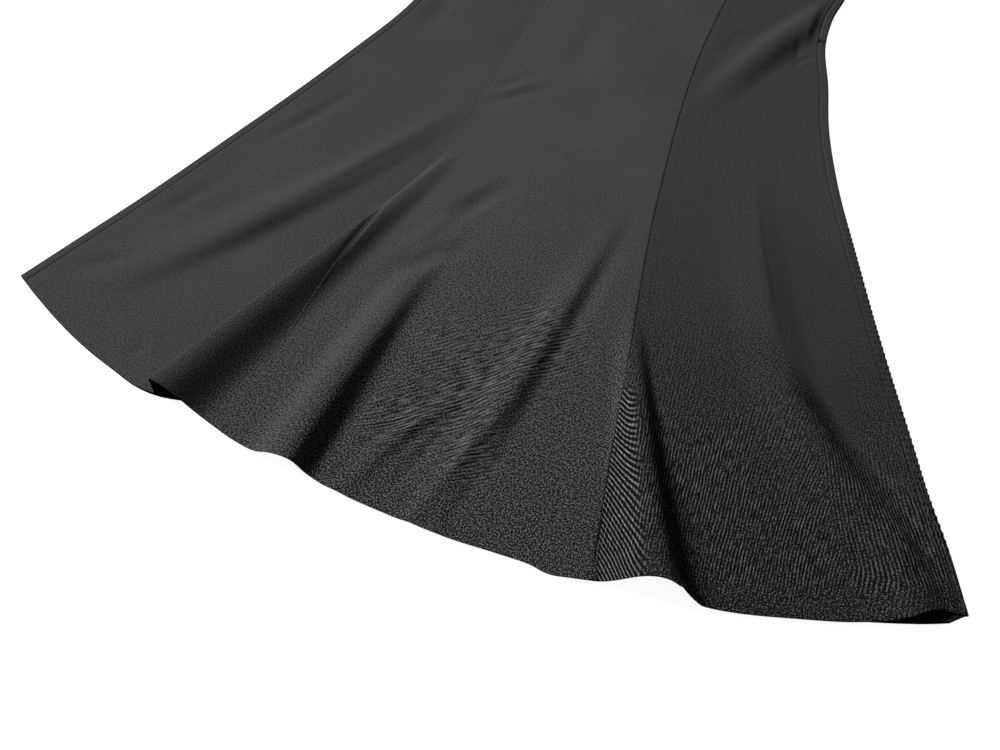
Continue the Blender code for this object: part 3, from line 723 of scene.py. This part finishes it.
def zip_lip(to_seam, y):
    """Rise of the lip of cloth that closes over the concealed zip."""
    stretch = ease((y - ZIP_END_Y) / LIP_FADE)
    return stretch * LIP_RISE * bump(to_seam - LIP_WIDTH, LIP_SPREAD)


def edge_puckers(y):
    """Waves of the small puckers along the right edge, from -1 to 1."""
    waves = np.sin(2 * math.pi * y / ROPE_PITCH + ROPE_DRIFT * np.sin(y * ROPE_DRIFT_RATE))
    return window(y, *ROPE_WINDOW) * waves


def look(name, y):
    """Reads a column of the looks table, which has no unit."""
    return smooth(LOOKS, LOOK_KEYS.index(name), y) / MM


def strip_of(name, x, y):
    """How rippled the cloth is: most on the rising side of the right tunnel, less on the centre's folds."""
    if name == "front_right":
        along, share, _, _ = fold_share(FOLD_SHAPES["right_tunnel"], x, y)
        return STRIP_STRENGTH * window(share, *STRIP_ACROSS) * window(along, *STRIP_ALONG)
    if name == "front_centre":
        return sum(share * bump(np.hypot(x - middle_x, y - middle_y), reach)
                   for share, middle_x, middle_y, reach in RIPPLED)
    return 0.0 * x


def looks_of(name, x, y, cut):
    """What the material reads at each point of a piece, as grids of values."""
    side = next((part for part in SIDES if part in name), "centre")
    on_right = float(side == "right")
    grain = look("grain_" + side, y)
    if name == "front_left":
        flank = ease((x - FLANK_X[0]) / (FLANK_X[1] - FLANK_X[0]))
        grain = grain + (FLANK_GRAIN * look("grain_centre", y) - grain) * flank
    if name == "front_centre":
        crest = CREST_X[0] + (y - CREST_X[1]) * CREST_X[2]
        grain = grain * (CREST_GRAIN + (1 - CREST_GRAIN) * ease((x - crest) / CREST_BLEND + CREST_EARLY))
    sideways, up = CENTRE_RIPPLE
    run = cut[..., 0]
    if side == "right":
        top_sideways, hem_sideways, up = STRIP_RIPPLE
        down = limited((y - STRIP_SPAN[0]) / (STRIP_SPAN[1] - STRIP_SPAN[0]))
        sideways = top_sideways + (hem_sideways - top_sideways) * down
        run = run - run[:, :1]
    v = cross_line(y)
    seam, edge = across(v, "right_seam"), across(v, "right")
    calm = window(x, smooth(CALM, 1, y), edge - CALM_TO_EDGE, CALM_SHARP, CALM_FADE)
    calm = calm * ease((y - CALM_END[0]) / CALM_END[1]) * on_right
    axis = RIB_AXIS[0] + (y - RIB_AXIS[1]) * RIB_AXIS[2]
    share = limited((x - seam) / np.maximum(axis - seam, 1 * MM))
    hem_width = float(across(1.0, "right") - across(1.0, "right_seam"))
    lean, drop, upright_y = RIB_LEAN
    (low_x, low_y), (up_x, up_y) = PAINTED_SHADE_BAND
    run_x, run_y = up_x - low_x, up_y - low_y
    off = ((x - low_x) * run_y - (y - low_y) * run_x) / math.hypot(run_x, run_y)
    # A band of painted shade beside a fold of the right gore, where the ribs are also stronger.
    band = bump(off, BAND_REACH) * on_right * ease((BAND_START[0] - y) / BAND_START[1])
    turned_up = ease((RIBS_END - (y - y[-1:])) / RIBS_END_FADE) * on_right
    rib = look("ribs_right", y) * on_right * (1 - CALM_RIBS * calm) * (1 + BAND_RIBS * band)
    return {
        "grain": grain * (1 - CALM_GRAIN * calm) * (1 + END_GRAIN * turned_up),
        # The shade is partly painted shade: it falls down the right gore and is darker along the band beside
        # a fold.
        "shade": look("shade_" + side, y) * (1 - BAND_PAINTED_SHADE * band),
        "rib": rib * (1 - END_RIBS * turned_up),
        "strip": strip_of(name, x, y),
        "ripple": run * sideways + cut[..., 1] * up,
        "streak": run * up - cut[..., 1] * sideways,
        "loose": LOOSE[side] + 0.0 * x,
        "fan": (x - seam) / (edge - seam) * hem_width,
        "upright": x + (lean - drop * share) * (y - upright_y),
        "turn": ease((x - axis) / (2 * RIB_BLEND) + 0.5),
    }


def cut_of(points):
    """Place of each grid point on the flat cut: along its row from the middle column, and down its column."""
    sideways = np.linalg.norm(np.diff(points, axis=1), axis=-1)
    run = np.hstack([np.zeros((len(points), 1)), np.cumsum(sideways, axis=1)])
    middle = run[:, run.shape[1] // 2][:, None]
    down = np.linalg.norm(np.diff(points, axis=0), axis=-1)
    drop = np.concatenate([np.zeros((1, points.shape[1])), np.cumsum(down, axis=0)])
    return np.stack([run - middle, -drop], axis=-1)


def front_layers(x, y, rise, wall):
    """The two grids of a front piece, from how far it stands proud and how thick it is."""
    normal = front_normal(x, y)
    point = front_point(x, y)
    outer = point + normal * rise[..., None]
    inner = point - normal * (wall + 0.0 * x)[..., None]
    outer[..., 2] = np.maximum(outer[..., 2], inner[..., 2] + THINNEST)
    return outer, inner


def front_gore(name, start, end):
    """One front gore as a shell."""
    v = gore_rows()
    x = np.array([seamed(row, start(row), end(row), name) for row in v])
    v = v[:, None]
    y = row_y(v, x, 1)
    to_left = x - start(v)
    to_right = end(v) - x
    left_kind, right_kind = SEAM_KINDS[name]
    rise = seam_profile(to_left, left_kind) + seam_profile(to_right, right_kind)
    rise = rise + hem_profile((1 - v) * LENGTH)
    if name != "front_left":
        rise = rise + allowance(to_left)
    if name == "front_right":
        rise = rise + zip_lip(to_right, y)
    return shell(name, *front_layers(x, y, rise, gore_wall(v)))


def back_gore(name, start, end):
    """The flat centre back gore as a shell."""
    v = gore_rows()[:, None]
    share = np.linspace(0, 1, 2 * BACK_COLUMNS + 1)[None]
    x = between(start(v), end(v), share)
    y = row_y(v, x, 2)
    outer = np.stack([x, y, np.zeros_like(x)], axis=-1)
    inner = np.stack([x, y, gore_wall(v) * np.ones_like(x)], axis=-1)
    return shell(name, outer, inner)


def wrapped(v, side, start, wall):
    """Grids of a back piece that goes on round the folded edge to the side seam on the front."""
    edge = across(v, "right" if side > 0 else "left")
    bend = edge - side * EDGE_RADIUS
    angles = np.linspace(-math.pi / 2, math.pi / 2, EDGE_STEPS + 1)[None]
    inner_radius = EDGE_RADIUS - wall
    flat_share = np.linspace(0, 1, BACK_COLUMNS + 1)[None, :-1]
    flat_x = between(start(v), bend, flat_share)
    round_x = bend + side * EDGE_RADIUS * np.cos(angles)
    round_z = EDGE_RADIUS + EDGE_RADIUS * np.sin(angles)
    inner_x = bend + side * inner_radius * np.cos(angles)
    inner_z = EDGE_RADIUS + inner_radius * np.sin(angles)
    seam = edge - side * (SEAM_INSET - HALF_GAP)
    top_share = np.linspace(0, 1, LAP_STEPS + 1)[None, 1:]
    top_x = between(bend, seam, top_share)
    top_y = row_y(v, top_x, 1)
    top_z = front_point(top_x, top_y)[..., 2]
    to_seam = np.abs(top_x - seam)
    rise = -SEAM_DIP * bump(to_seam, SEAM_ROLL)
    if side > 0:
        puckers = ROPE_RISE * edge_puckers(top_y)
        rise = rise + zip_lip(to_seam, top_y) + puckers * ease(to_seam / ROPE_AT_SEAM)
        rise = rise - NOTCH_DEPTH * bump(top_y - NOTCH_Y - NOTCH_LEAN * (top_x - seam), NOTCH_WIDTH)
        swell = (puckers - NOTCH_DEPTH * bump(top_y - NOTCH_Y, NOTCH_EDGE_WIDTH))[:, :1]
        high = EDGE_SWELL * ease(np.sin(angles))
        round_x = round_x + swell * high
        round_z = round_z + swell * high
    ones = np.ones_like(v)
    outer_x = np.hstack([flat_x, round_x, top_x])
    outer_z = np.hstack([0 * flat_x, round_z * ones, top_z + rise])
    in_x = np.hstack([flat_x, inner_x, top_x])
    in_z = np.hstack([wall + 0 * flat_x, inner_z * ones, top_z - wall])
    y = np.hstack([row_y(v, flat_x, 2), row_y(v, round_x, 1), top_y])
    return np.stack([outer_x, y, outer_z], axis=-1), np.stack([in_x, y, in_z], axis=-1)


def side_gore(name, side, start):
    """A back side gore as a shell, round its folded edge, with closer rows where that edge is puckered."""
    v = gore_rows()
    if side > 0:
        last, first = ((TOP_Y - y) / LENGTH for y in ROPE_WINDOW[:2])
        v = np.concatenate([v[v < first], np.linspace(first, last, ROPE_ROWS), v[v > last]])
    v = v[:, None]
    return shell(name, *wrapped(v, side, start, gore_wall(v)))


def front_band(start, end):
    """The front of the waistband as a shell."""
    v = band_rows()[:, None]
    share = np.linspace(0, 1, BAND_COLUMNS + 1)[None]
    x = between(start(v), end(v), share)
    y = row_y(v, x, 1)
    to_side = np.minimum(x - start(v), end(v) - x)
    to_seam = v[-1] * LENGTH - v * LENGTH
    rise = -SEAM_DIP * bump(to_side, SEAM_ROLL) - SEAM_DIP * bump(to_seam * np.ones_like(x), SEAM_ROLL)
    rise = rise + zip_lip(end(v) - x, y)
    return shell("waistband_front", *front_layers(x, y, rise, BAND_WALL))


def back_band():
    """The back of the waistband as a shell, round both folded edges."""
    v = band_rows()[:, None]
    left, right = (wrapped(v, side, np.zeros_like, BAND_WALL) for side in (-1, 1))
    grids = (np.hstack([low[:, ::-1], high[:, 1:]]) for low, high in zip(left, right))
    return shell("waistband_back", *grids)


# ---- stitches ----
def spindles(name, middles, runs, ups, size):
    """Short threads, each a closed spindle round its middle, from their half length and radius."""
    half_length, radius = size
    cross = np.cross(runs, ups)
    rings = []
    for place, swell in THREAD_STATIONS:
        for side in range(THREAD_SIDES):
            angle = 2 * math.pi * side / THREAD_SIDES
            rings.append(middles + runs * (place * half_length)
                         + (cross * math.cos(angle) + ups * math.sin(angle)) * (radius * swell))
    points = np.stack(rings, axis=1)
    each = len(rings)
    faces = []
    for a in range(each - THREAD_SIDES):
        b = a + 1 if (a + 1) % THREAD_SIDES else a + 1 - THREAD_SIDES
        faces.append((a, b, b + THREAD_SIDES, a + THREAD_SIDES))
    faces += [tuple(reversed(range(THREAD_SIDES))), tuple(range(each - THREAD_SIDES, each))]
    all_faces = [tuple(corner + base for corner in face)
                 for base in range(0, each * len(middles), each) for face in faces]
    mesh = bpy.data.meshes.new(name)
    mesh.from_pydata(points.reshape(-1, 3).tolist(), [], all_faces)
    turn_out(mesh)
    mesh.shade_smooth()
    return placed(name, mesh)


def along_line(x, y, pitch, rise):
    """Evenly spaced places on the front surface along a line of plan points: middle, run and up."""
    points = front_point(x, y)
    steps = np.linalg.norm(np.diff(points, axis=0), axis=-1)
    total = np.concatenate([[0.0], np.cumsum(steps)])
    at = np.arange(pitch, total[-1] - pitch, pitch)
    place_x = np.interp(at, total, x)
    place_y = np.interp(at, total, y)
    up = front_normal(place_x, place_y)
    ahead, behind = (np.stack([np.interp(at + step, total, part) for part in points.T], axis=-1)
                     for step in (STITCH_STEP, -STITCH_STEP))
    return front_point(place_x, place_y) + up * rise, unit(ahead - behind), up


def hem_stitches():
    """The row of stitches that holds the turned-up hem."""
    v = 1 - STITCH_ABOVE_HEM / LENGTH
    parts = []
    for start, end in FRONT_LINES.values():
        x = np.linspace(float(start(v)) + HEM_STITCH_END, float(end(v)) - HEM_STITCH_END, HEM_SAMPLES)
        parts.append(along_line(x, row_y(v, x, 1), HEM_STITCH_PITCH, HEM_STITCH_RISE))
    middles, runs, ups = (np.concatenate(group) for group in zip(*parts))
    return spindles("hem_stitches", middles, runs, ups, HEM_STITCH)


def seam_stitches(name, seam):
    """The threads that show in the ditch of a front seam."""
    v = np.linspace(*SEAM_SPAN, SEAM_SAMPLES)
    x = across(v, seam)
    middles, runs, ups = along_line(x, row_y(v, x, 1), SEAM_STITCH_PITCH, SEAM_STITCH_RISE)
    slanted = unit(runs * SEAM_SLANT[0] + np.cross(runs, ups) * SEAM_SLANT[1])
    return spindles(name, middles, slanted, ups, SEAM_STITCH)


# ---- zip ----
def side_seam(v):
    """The side seam at +X on the front, where the concealed zip lies."""
    x = across(v, "right") - SEAM_INSET
    return np.array([x, row_y(v, x, 1)])


def zip_place():
    """Matrix from the zip's own axes (x along the hinge, y up the seam, z up) to the skirt."""
    here = side_seam(SLIDER_DROP / LENGTH)
    down = side_seam((SLIDER_DROP + SLIDER_LENGTH) / LENGTH) - side_seam(0.0)
    turn = math.atan2(down[0], -down[1])
    return Matrix.Translation((here[0], here[1], BASE_Z)) @ Matrix.Rotation(turn, 4, "Z")


def extruded(name, outline, thickness, holes=()):
    """A flat plate from an outline in x and y, centred on z = 0, with its holes cut through."""
    shape = bmesh.new()
    loops = []
    for ring in (outline, *holes):
        verts = [shape.verts.new((x, y, -thickness / 2)) for x, y in ring]
        loops += [shape.edges.new((a, b)) for a, b in zip(verts, verts[1:] + verts[:1])]
    faces = bmesh.ops.triangle_fill(shape, edges=loops, use_beauty=True)["geom"]
    faces = [part for part in faces if isinstance(part, bmesh.types.BMFace)]
    grown = bmesh.ops.extrude_face_region(shape, geom=faces)["geom"]
    verts = [part for part in grown if isinstance(part, bmesh.types.BMVert)]
    bmesh.ops.translate(shape, verts=verts, vec=(0, 0, thickness))
    bmesh.ops.recalc_face_normals(shape, faces=shape.faces)
    bmesh.ops.dissolve_limit(shape, angle_limit=math.radians(1), verts=shape.verts, edges=shape.edges)
    mesh = bpy.data.meshes.new(name)
    shape.to_mesh(mesh)
    shape.free()
    return mesh


def arc(centre, reach, start, end, steps):
    """Points on an ellipse's arc between two angles."""
    angles = (start + (end - start) * step / steps for step in range(steps + 1))
    return [(centre[0] + reach[0] * math.cos(angle), centre[1] + reach[1] * math.sin(angle))
            for angle in angles]


def rounded_plate(length, width, corner):
    """Outline of a rectangle with round corners."""
    points = []
    for index, (sign_x, sign_y) in enumerate(((1, 1), (-1, 1), (-1, -1), (1, -1))):
        centre = (sign_x * (width / 2 - corner), sign_y * (length / 2 - corner))
        first = math.pi / 2 * index
        points += arc(centre, (corner, corner), first, first + math.pi / 2, CORNER_STEPS)
    return points


def arch_outline():
    """Side view of the arch: a band over the hinge axis with two feet in the base plate."""
    foot = -(PULL_THICKNESS / 2 + SEAM_GAP + SLIDER_BASE / 2)
    inner = ARCH_REACH - ARCH_WALL
    outside = arc((0, 0), (ARCH_REACH, ARCH_CLEAR + ARCH_WALL), 0, math.pi, ARCH_STEPS)
    inside = arc((0, 0), (inner, ARCH_CLEAR), math.pi, 0, ARCH_STEPS)
    return [(ARCH_REACH, foot), *outside, (-ARCH_REACH, foot), (-inner, foot), *inside, (inner, foot)]


def metal_piece(name, mesh, bevel, material, body, node=None):
    """A small metal piece with worn round edges."""
    piece = placed(name, mesh)
    rounding = piece.modifiers.new("edges", "BEVEL")
    rounding.width = bevel
    rounding.segments = 3
    rounding.limit_method = "ANGLE"
    rounding.angle_limit = math.radians(40)
    mesh.shade_smooth()
    mesh.materials.append(material)
    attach(piece, body)
    if node:
        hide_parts(node)
    return piece


def build_zip(material):
    """The slider with its arch, and the pull tab on its hinge."""
    place = zip_place()
    base = extruded("slider_plate", rounded_plate(SLIDER_LENGTH, SLIDER_WIDTH, SLIDER_CORNER), SLIDER_BASE)
    base.transform(place @ Matrix.Translation((0, 0, SEAM_GAP + SLIDER_BASE / 2)))
    metal_piece("slider_plate", base, PLATE_BEVEL, material, "skirt", "zip_slider")
    arch = extruded("slider_arch", arch_outline(), ARCH_WIDTH)
    stand = Matrix.Rotation(math.pi / 2, 4, "Z") @ Matrix.Rotation(math.pi / 2, 4, "X")
    arch.transform(place @ Matrix.Translation((0, 0, PIVOT_RISE)) @ stand)
    metal_piece("slider_arch", arch, ARCH_BEVEL, material, "skirt")
    right = [(half * MM, -along * MM) for along, half in PULL_OUTLINE]
    left = [(-x, y) for x, y in reversed(right[:-1])]
    low = -PULL_BAR / 2
    eye = [(PULL_EYE_HALF, low), (-PULL_EYE_HALF, low),
           (-PULL_EYE_HALF, low - PULL_EYE), (PULL_EYE_HALF, low - PULL_EYE)]
    pull = extruded("pull_tab", right + left, PULL_THICKNESS, holes=(eye,))
    pull.transform(place @ Matrix.Translation((0, 0, PIVOT_RISE)))
    metal_piece("pull_tab", pull, PULL_BEVEL, material, "pull", "zip_pull")


# ---- materials ----
class Nodes:
    """Short calls for a material's nodes."""

    def __init__(self, name):
        self.material = bpy.data.materials.new(name)
        self.material.use_nodes = True
        self.tree = self.material.node_tree
        self.shader = self.tree.nodes["Principled BSDF"]

    def put(self, socket, value):
        """Sets a socket to a value, or links it to another socket."""
        if isinstance(value, bpy.types.NodeSocket):
            self.tree.links.new(value, socket)
        else:
            socket.default_value = value

    def add(self, kind, inputs=(), **settings):
        """Adds a node with its settings and inputs."""
        node = self.tree.nodes.new(kind)
        for key, value in settings.items():
            setattr(node, key, value)
        for key, value in dict(inputs).items():
            self.put(node.inputs[key], value)
        return node

    def surface(self, values):
        """Sets the shader's own sockets and gives back the material."""
        for key, value in values.items():
            self.put(self.shader.inputs[key], value)
        return self.material

    def maths(self, operation, a, b=0.0):
        """One step of arithmetic."""
        return self.add("ShaderNodeMath", {0: a, 1: b}, operation=operation).outputs[0]

    def plus(self, a, b):
        """A sum."""
        return self.maths("ADD", a, b)

    def times(self, a, b):
        """A product."""
        return self.maths("MULTIPLY", a, b)

    def rest(self, share):
        """What a share leaves of 1."""
        return self.maths("SUBTRACT", 1.0, share)

    def noise(self, vector, scale, detail=2.0, roughness=0.5):
        """Noise from 0 to 1."""
        inputs = {"Vector": vector, "Scale": scale, "Detail": detail, "Roughness": roughness}
        return self.add("ShaderNodeTexNoise", inputs).outputs["Fac"]

    def spread(self, value, low, high, to_low=0.0, to_high=1.0):
        """Maps a range to another one, held at its ends."""
        inputs = {"Value": value, "From Min": low, "From Max": high, "To Min": to_low, "To Max": to_high}
        return self.add("ShaderNodeMapRange", inputs).outputs["Result"]

    def waves(self, phase, pitch):
        """A sine from 0 to 1 over a length in metres."""
        turned = self.maths("SINE", self.times(phase, 2 * math.pi / pitch))
        return self.spread(turned, -1.0, 1.0)

    def blend(self, share, a, b):
        """Goes from one value to another by a share."""
        kept = self.times(a, self.rest(share))
        return self.plus(kept, self.times(b, share))

    def swing(self, value, mask, depth):
        """How far a pattern from 0 to 1 swings from its middle, under a mask."""
        return self.times(self.maths("SUBTRACT", value, 0.5), self.times(mask, depth))

    def broken(self, phase, along, pitch, share):
        """Waves that are broken up into streaks along them by a share."""
        inputs = {0: phase, 1: self.times(along, STREAK_STRETCH)}
        place = self.add("ShaderNodeCombineXYZ", inputs).outputs[0]
        streaks = self.spread(self.noise(place, STREAK_SCALE / pitch, 1.0), *STREAK_RANGE)
        return self.blend(share, self.waves(phase, pitch), streaks)

    def mix(self, share, a, b, clamp=True):
        """Mixes two colours, past the second one where the share isn't clamped."""
        node = self.add("ShaderNodeMix", data_type="RGBA", clamp_factor=clamp)
        self.put(node.inputs[0], share)
        self.put(node.inputs[6], a)
        self.put(node.inputs[7], b)
        return node.outputs[2]

    def bump(self, height, strength, distance, normal=None):
        """A bump node."""
        inputs = {"Height": height, "Strength": strength, "Distance": distance}
        if normal is not None:
            inputs["Normal"] = normal
        return self.add("ShaderNodeBump", inputs).outputs["Normal"]


def suiting():
    """Dark charcoal suiting: a fine twill with a crepe grain and ribs that show more towards the hem."""
    n = Nodes("charcoal_suiting")
    cut = n.add("ShaderNodeUVMap", uv_map="cut").outputs["UV"]
    grain, tone_and_painted_shade, rib, strip, ripple, streak, loose, fan, upright, turn = (
        n.add("ShaderNodeAttribute", attribute_name=key).outputs["Fac"]
        for key in ("grain", "shade", "rib", "strip", "ripple", "streak", "loose", "fan", "upright", "turn"))
    across_cut, down_cut, _ = n.add("ShaderNodeSeparateXYZ", {0: cut}).outputs
    slope = n.plus(n.times(across_cut, TWILL_RUN[0]), n.times(down_cut, TWILL_RUN[1]))
    twill = n.waves(slope, TWILL_PITCH)
    crepe = n.noise(cut, *CREPE)
    speckle = n.noise(cut, *SPECKLE)
    clouds = n.noise(cut, *CLOUDS)
    wobble = n.times(n.noise(cut, *WOBBLE), WOBBLE_REACH)
    left_ribs = n.broken(n.plus(upright, wobble), down_cut, FINE_RIB_PITCH, RIB_BREAK[0])
    right_ribs = n.broken(n.plus(fan, wobble), down_cut, RIB_PITCH, RIB_BREAK[1])
    ribs = n.blend(turn, left_ribs, right_ribs)
    rib_mask = n.times(n.spread(n.noise(cut, *PATCHES), 0.3, 0.6, 0.45, 1.0), rib)
    ripples = n.broken(n.plus(ripple, wobble), streak, RIPPLE_PITCH, loose)
    weave = n.plus(n.times(twill, TWILL_DEPTH), crepe)
    speckled = n.times(grain, n.rest(n.maths("MINIMUM", strip, STRIP_MASK)))
    fine = n.bump(weave, n.spread(grain, 0.0, 1.0, 0.10, 0.45), WEAVE_BUMP)
    grainy = n.bump(speckle, speckled, GRAIN_BUMP, fine)
    ribbed = n.bump(ribs, n.times(rib_mask, RIB_BUMP[0]), RIB_BUMP[1], grainy)
    rippled = n.bump(ripples, strip, RIPPLE_BUMP, ribbed)
    fleck = n.swing(n.spread(speckle, 0.30, 0.70), speckled, FLECK_DEPTH)
    lined = n.swing(ribs, rib_mask, RIB_DEPTH)
    barred = n.swing(ripples, strip, RIPPLE_DEPTH)
    # The shade attribute darkens the base: painted shade down the right gore, along the band beside a fold
    # and on the inner side.
    base = n.times(n.spread(clouds, 0.3, 0.7, 0.63, 0.72), tone_and_painted_shade)
    shade = n.plus(n.plus(base, fleck), n.plus(lined, barred))
    return n.surface({
        "Base Color": n.mix(n.maths("MAXIMUM", shade, 0.0), CLOTH_DARK, CLOTH_LIGHT, clamp=False),
        "Roughness": n.spread(crepe, 0.2, 0.8, 0.76, 0.86),
        "Specular IOR Level": 0.06,
        "Normal": rippled,
    })


def thread():
    """Charcoal sewing thread, twisted."""
    n = Nodes("charcoal_thread")
    place = n.add("ShaderNodeTexCoord").outputs["Object"]
    twist = n.noise(place, 2500.0, 1.0)
    return n.surface({
        "Base Color": n.mix(twist, CLOTH_DARK, THREAD),
        "Roughness": 0.55,
        "Normal": n.bump(twist, 0.4, 0.1 * MM),
    })


def smoked_metal():
    """Dark lacquered metal with faint wear."""
    n = Nodes("smoked_metal")
    place = n.add("ShaderNodeTexCoord").outputs["Object"]
    wear = n.noise(place, 900.0, 4.0, 0.6)
    return n.surface({
        "Base Color": n.mix(n.spread(wear, 0.35, 0.75), METAL_DARK, METAL),
        "Metallic": 1.0,
        "Roughness": n.spread(wear, 0.3, 0.7, 0.28, 0.42),
        "Normal": n.bump(wear, 0.15, 0.05 * MM),
    })


# ---- camera, floor and light ----
IMAGE_WIDTH = 1000  # pixels
FOCAL = 900  # pixels
CAMERA_TILT = math.radians(62.59)  # above the surface
CAMERA_TURN = math.radians(20.98)  # to the right of the skirt's length
CAMERA_DISTANCE = 0.81414
LOOK_AT = Vector((0.02078, -0.31309, 0.0))
KEY_PLACE = Vector((-8.0, 1.8, 7.0))
KEY_AIM = Vector((0.0, -0.2, 0.0))
KEY_SIZE = 4.4
KEY_POWER = 1480.0
WORLD_STRENGTH = 0.07
FLOOR_GLOW = 0.93
FLOOR_DROP = 0.5 * MM
FLOOR_REACH = 5.0


def build_camera():
    """The camera, which looks down on the lower part of the skirt."""
    back = Vector((math.sin(CAMERA_TURN) * math.cos(CAMERA_TILT),
                   -math.cos(CAMERA_TURN) * math.cos(CAMERA_TILT), math.sin(CAMERA_TILT)))
    data = bpy.data.cameras.new("camera")
    data.sensor_width = 36.0
    data.lens = FOCAL / IMAGE_WIDTH * data.sensor_width
    data.clip_start = 0.01
    camera = placed("camera", data)
    camera.location = LOOK_AT + back * CAMERA_DISTANCE
    camera.rotation_euler = (-back).to_track_quat("-Z", "Y").to_euler()
    bpy.context.scene.camera = camera


def build_stage():
    """A plain pale floor, lit a little from below as a light table is."""
    mesh = bpy.data.meshes.new("floor")
    corners = [(x * FLOOR_REACH, y * FLOOR_REACH, 0) for x, y in ((-1, -1), (1, -1), (1, 1), (-1, 1))]
    mesh.from_pydata(corners, [], [(0, 1, 2, 3)])
    floor = placed("floor", mesh)
    floor.location.z = -FLOOR_DROP
    mesh.materials.append(Nodes("pale_floor").surface({
        "Base Color": FLOOR_COLOUR,
        "Roughness": 0.9,
        "Specular IOR Level": 0.1,
        "Emission Color": WHITE,
        "Emission Strength": FLOOR_GLOW,
    }))
    floor.visible_diffuse = False
    floor.visible_glossy = False


def build_light():
    """A soft light from the far left and a faint even light all round."""
    data = bpy.data.lights.new("key", "AREA")
    data.shape = "DISK"
    data.size = KEY_SIZE
    data.energy = KEY_POWER
    light = placed("key", data)
    light.location = KEY_PLACE
    light.rotation_euler = (KEY_AIM - KEY_PLACE).to_track_quat("-Z", "Y").to_euler()
    world = bpy.data.worlds.new("studio")
    world.use_nodes = True
    background = world.node_tree.nodes["Background"]
    background.inputs["Color"].default_value = WHITE
    background.inputs["Strength"].default_value = WORLD_STRENGTH
    bpy.context.scene.world = world
    bpy.context.scene.view_settings.view_transform = "Standard"


# ---- the skirt ----
HALF_GAP = 0.02 * MM  # the shells close up at the seams
OPEN_GAP = 0.32 * MM  # but the right front seam shows as a fine dark groove, closed at the hem
GROOVE_CLOSING = 22 * MM  # the groove closes over this length
GROOVE_CLOSED = 0.3  # and is closed over this share of it
FRONT_LINES = {
    "front_left": (line("left", SEAM_INSET + HALF_GAP), line("left_seam", -HALF_GAP)),
    "front_centre": (line("left_seam", HALF_GAP), line("right_seam", -OPEN_GAP, -HALF_GAP)),
    "front_right": (line("right_seam", OPEN_GAP, HALF_GAP), line("right", -SEAM_INSET - HALF_GAP)),
}
SEAM_KINDS = {
    "front_left": ("sunk", "none"),
    "front_centre": ("ridge", "sunk"),
    "front_right": ("none", "sunk"),
}


def finish_cloth(piece, node, material):
    """Gives a cloth piece its material and its body, and hides its solid."""
    piece.data.materials.append(material)
    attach(piece, "skirt")
    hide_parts(node)


def build_skirt():
    """All the cloth and its stitches."""
    cloth = suiting()
    sewn = thread()
    left_seam, right_seam = line("left_seam"), line("right_seam")
    pieces = {node: front_gore(node, start, end) for node, (start, end) in FRONT_LINES.items()}
    pieces["back_centre"] = back_gore("back_centre", left_seam, right_seam)
    pieces["back_left"] = side_gore("back_left", -1, left_seam)
    pieces["back_right"] = side_gore("back_right", 1, right_seam)
    pieces["waistband_front"] = front_band(FRONT_LINES["front_left"][0], FRONT_LINES["front_right"][1])
    pieces["waistband_back"] = back_band()
    for node, piece in pieces.items():
        finish_cloth(piece, node, cloth)
    for piece in (hem_stitches(), seam_stitches("left_seam_stitches", "left_seam"),
                  seam_stitches("right_seam_stitches", "right_seam")):
        piece.data.materials.append(sewn)
        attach(piece, "skirt")


build_camera()
build_stage()
build_light()
build_skirt()
build_zip(smoked_metal())
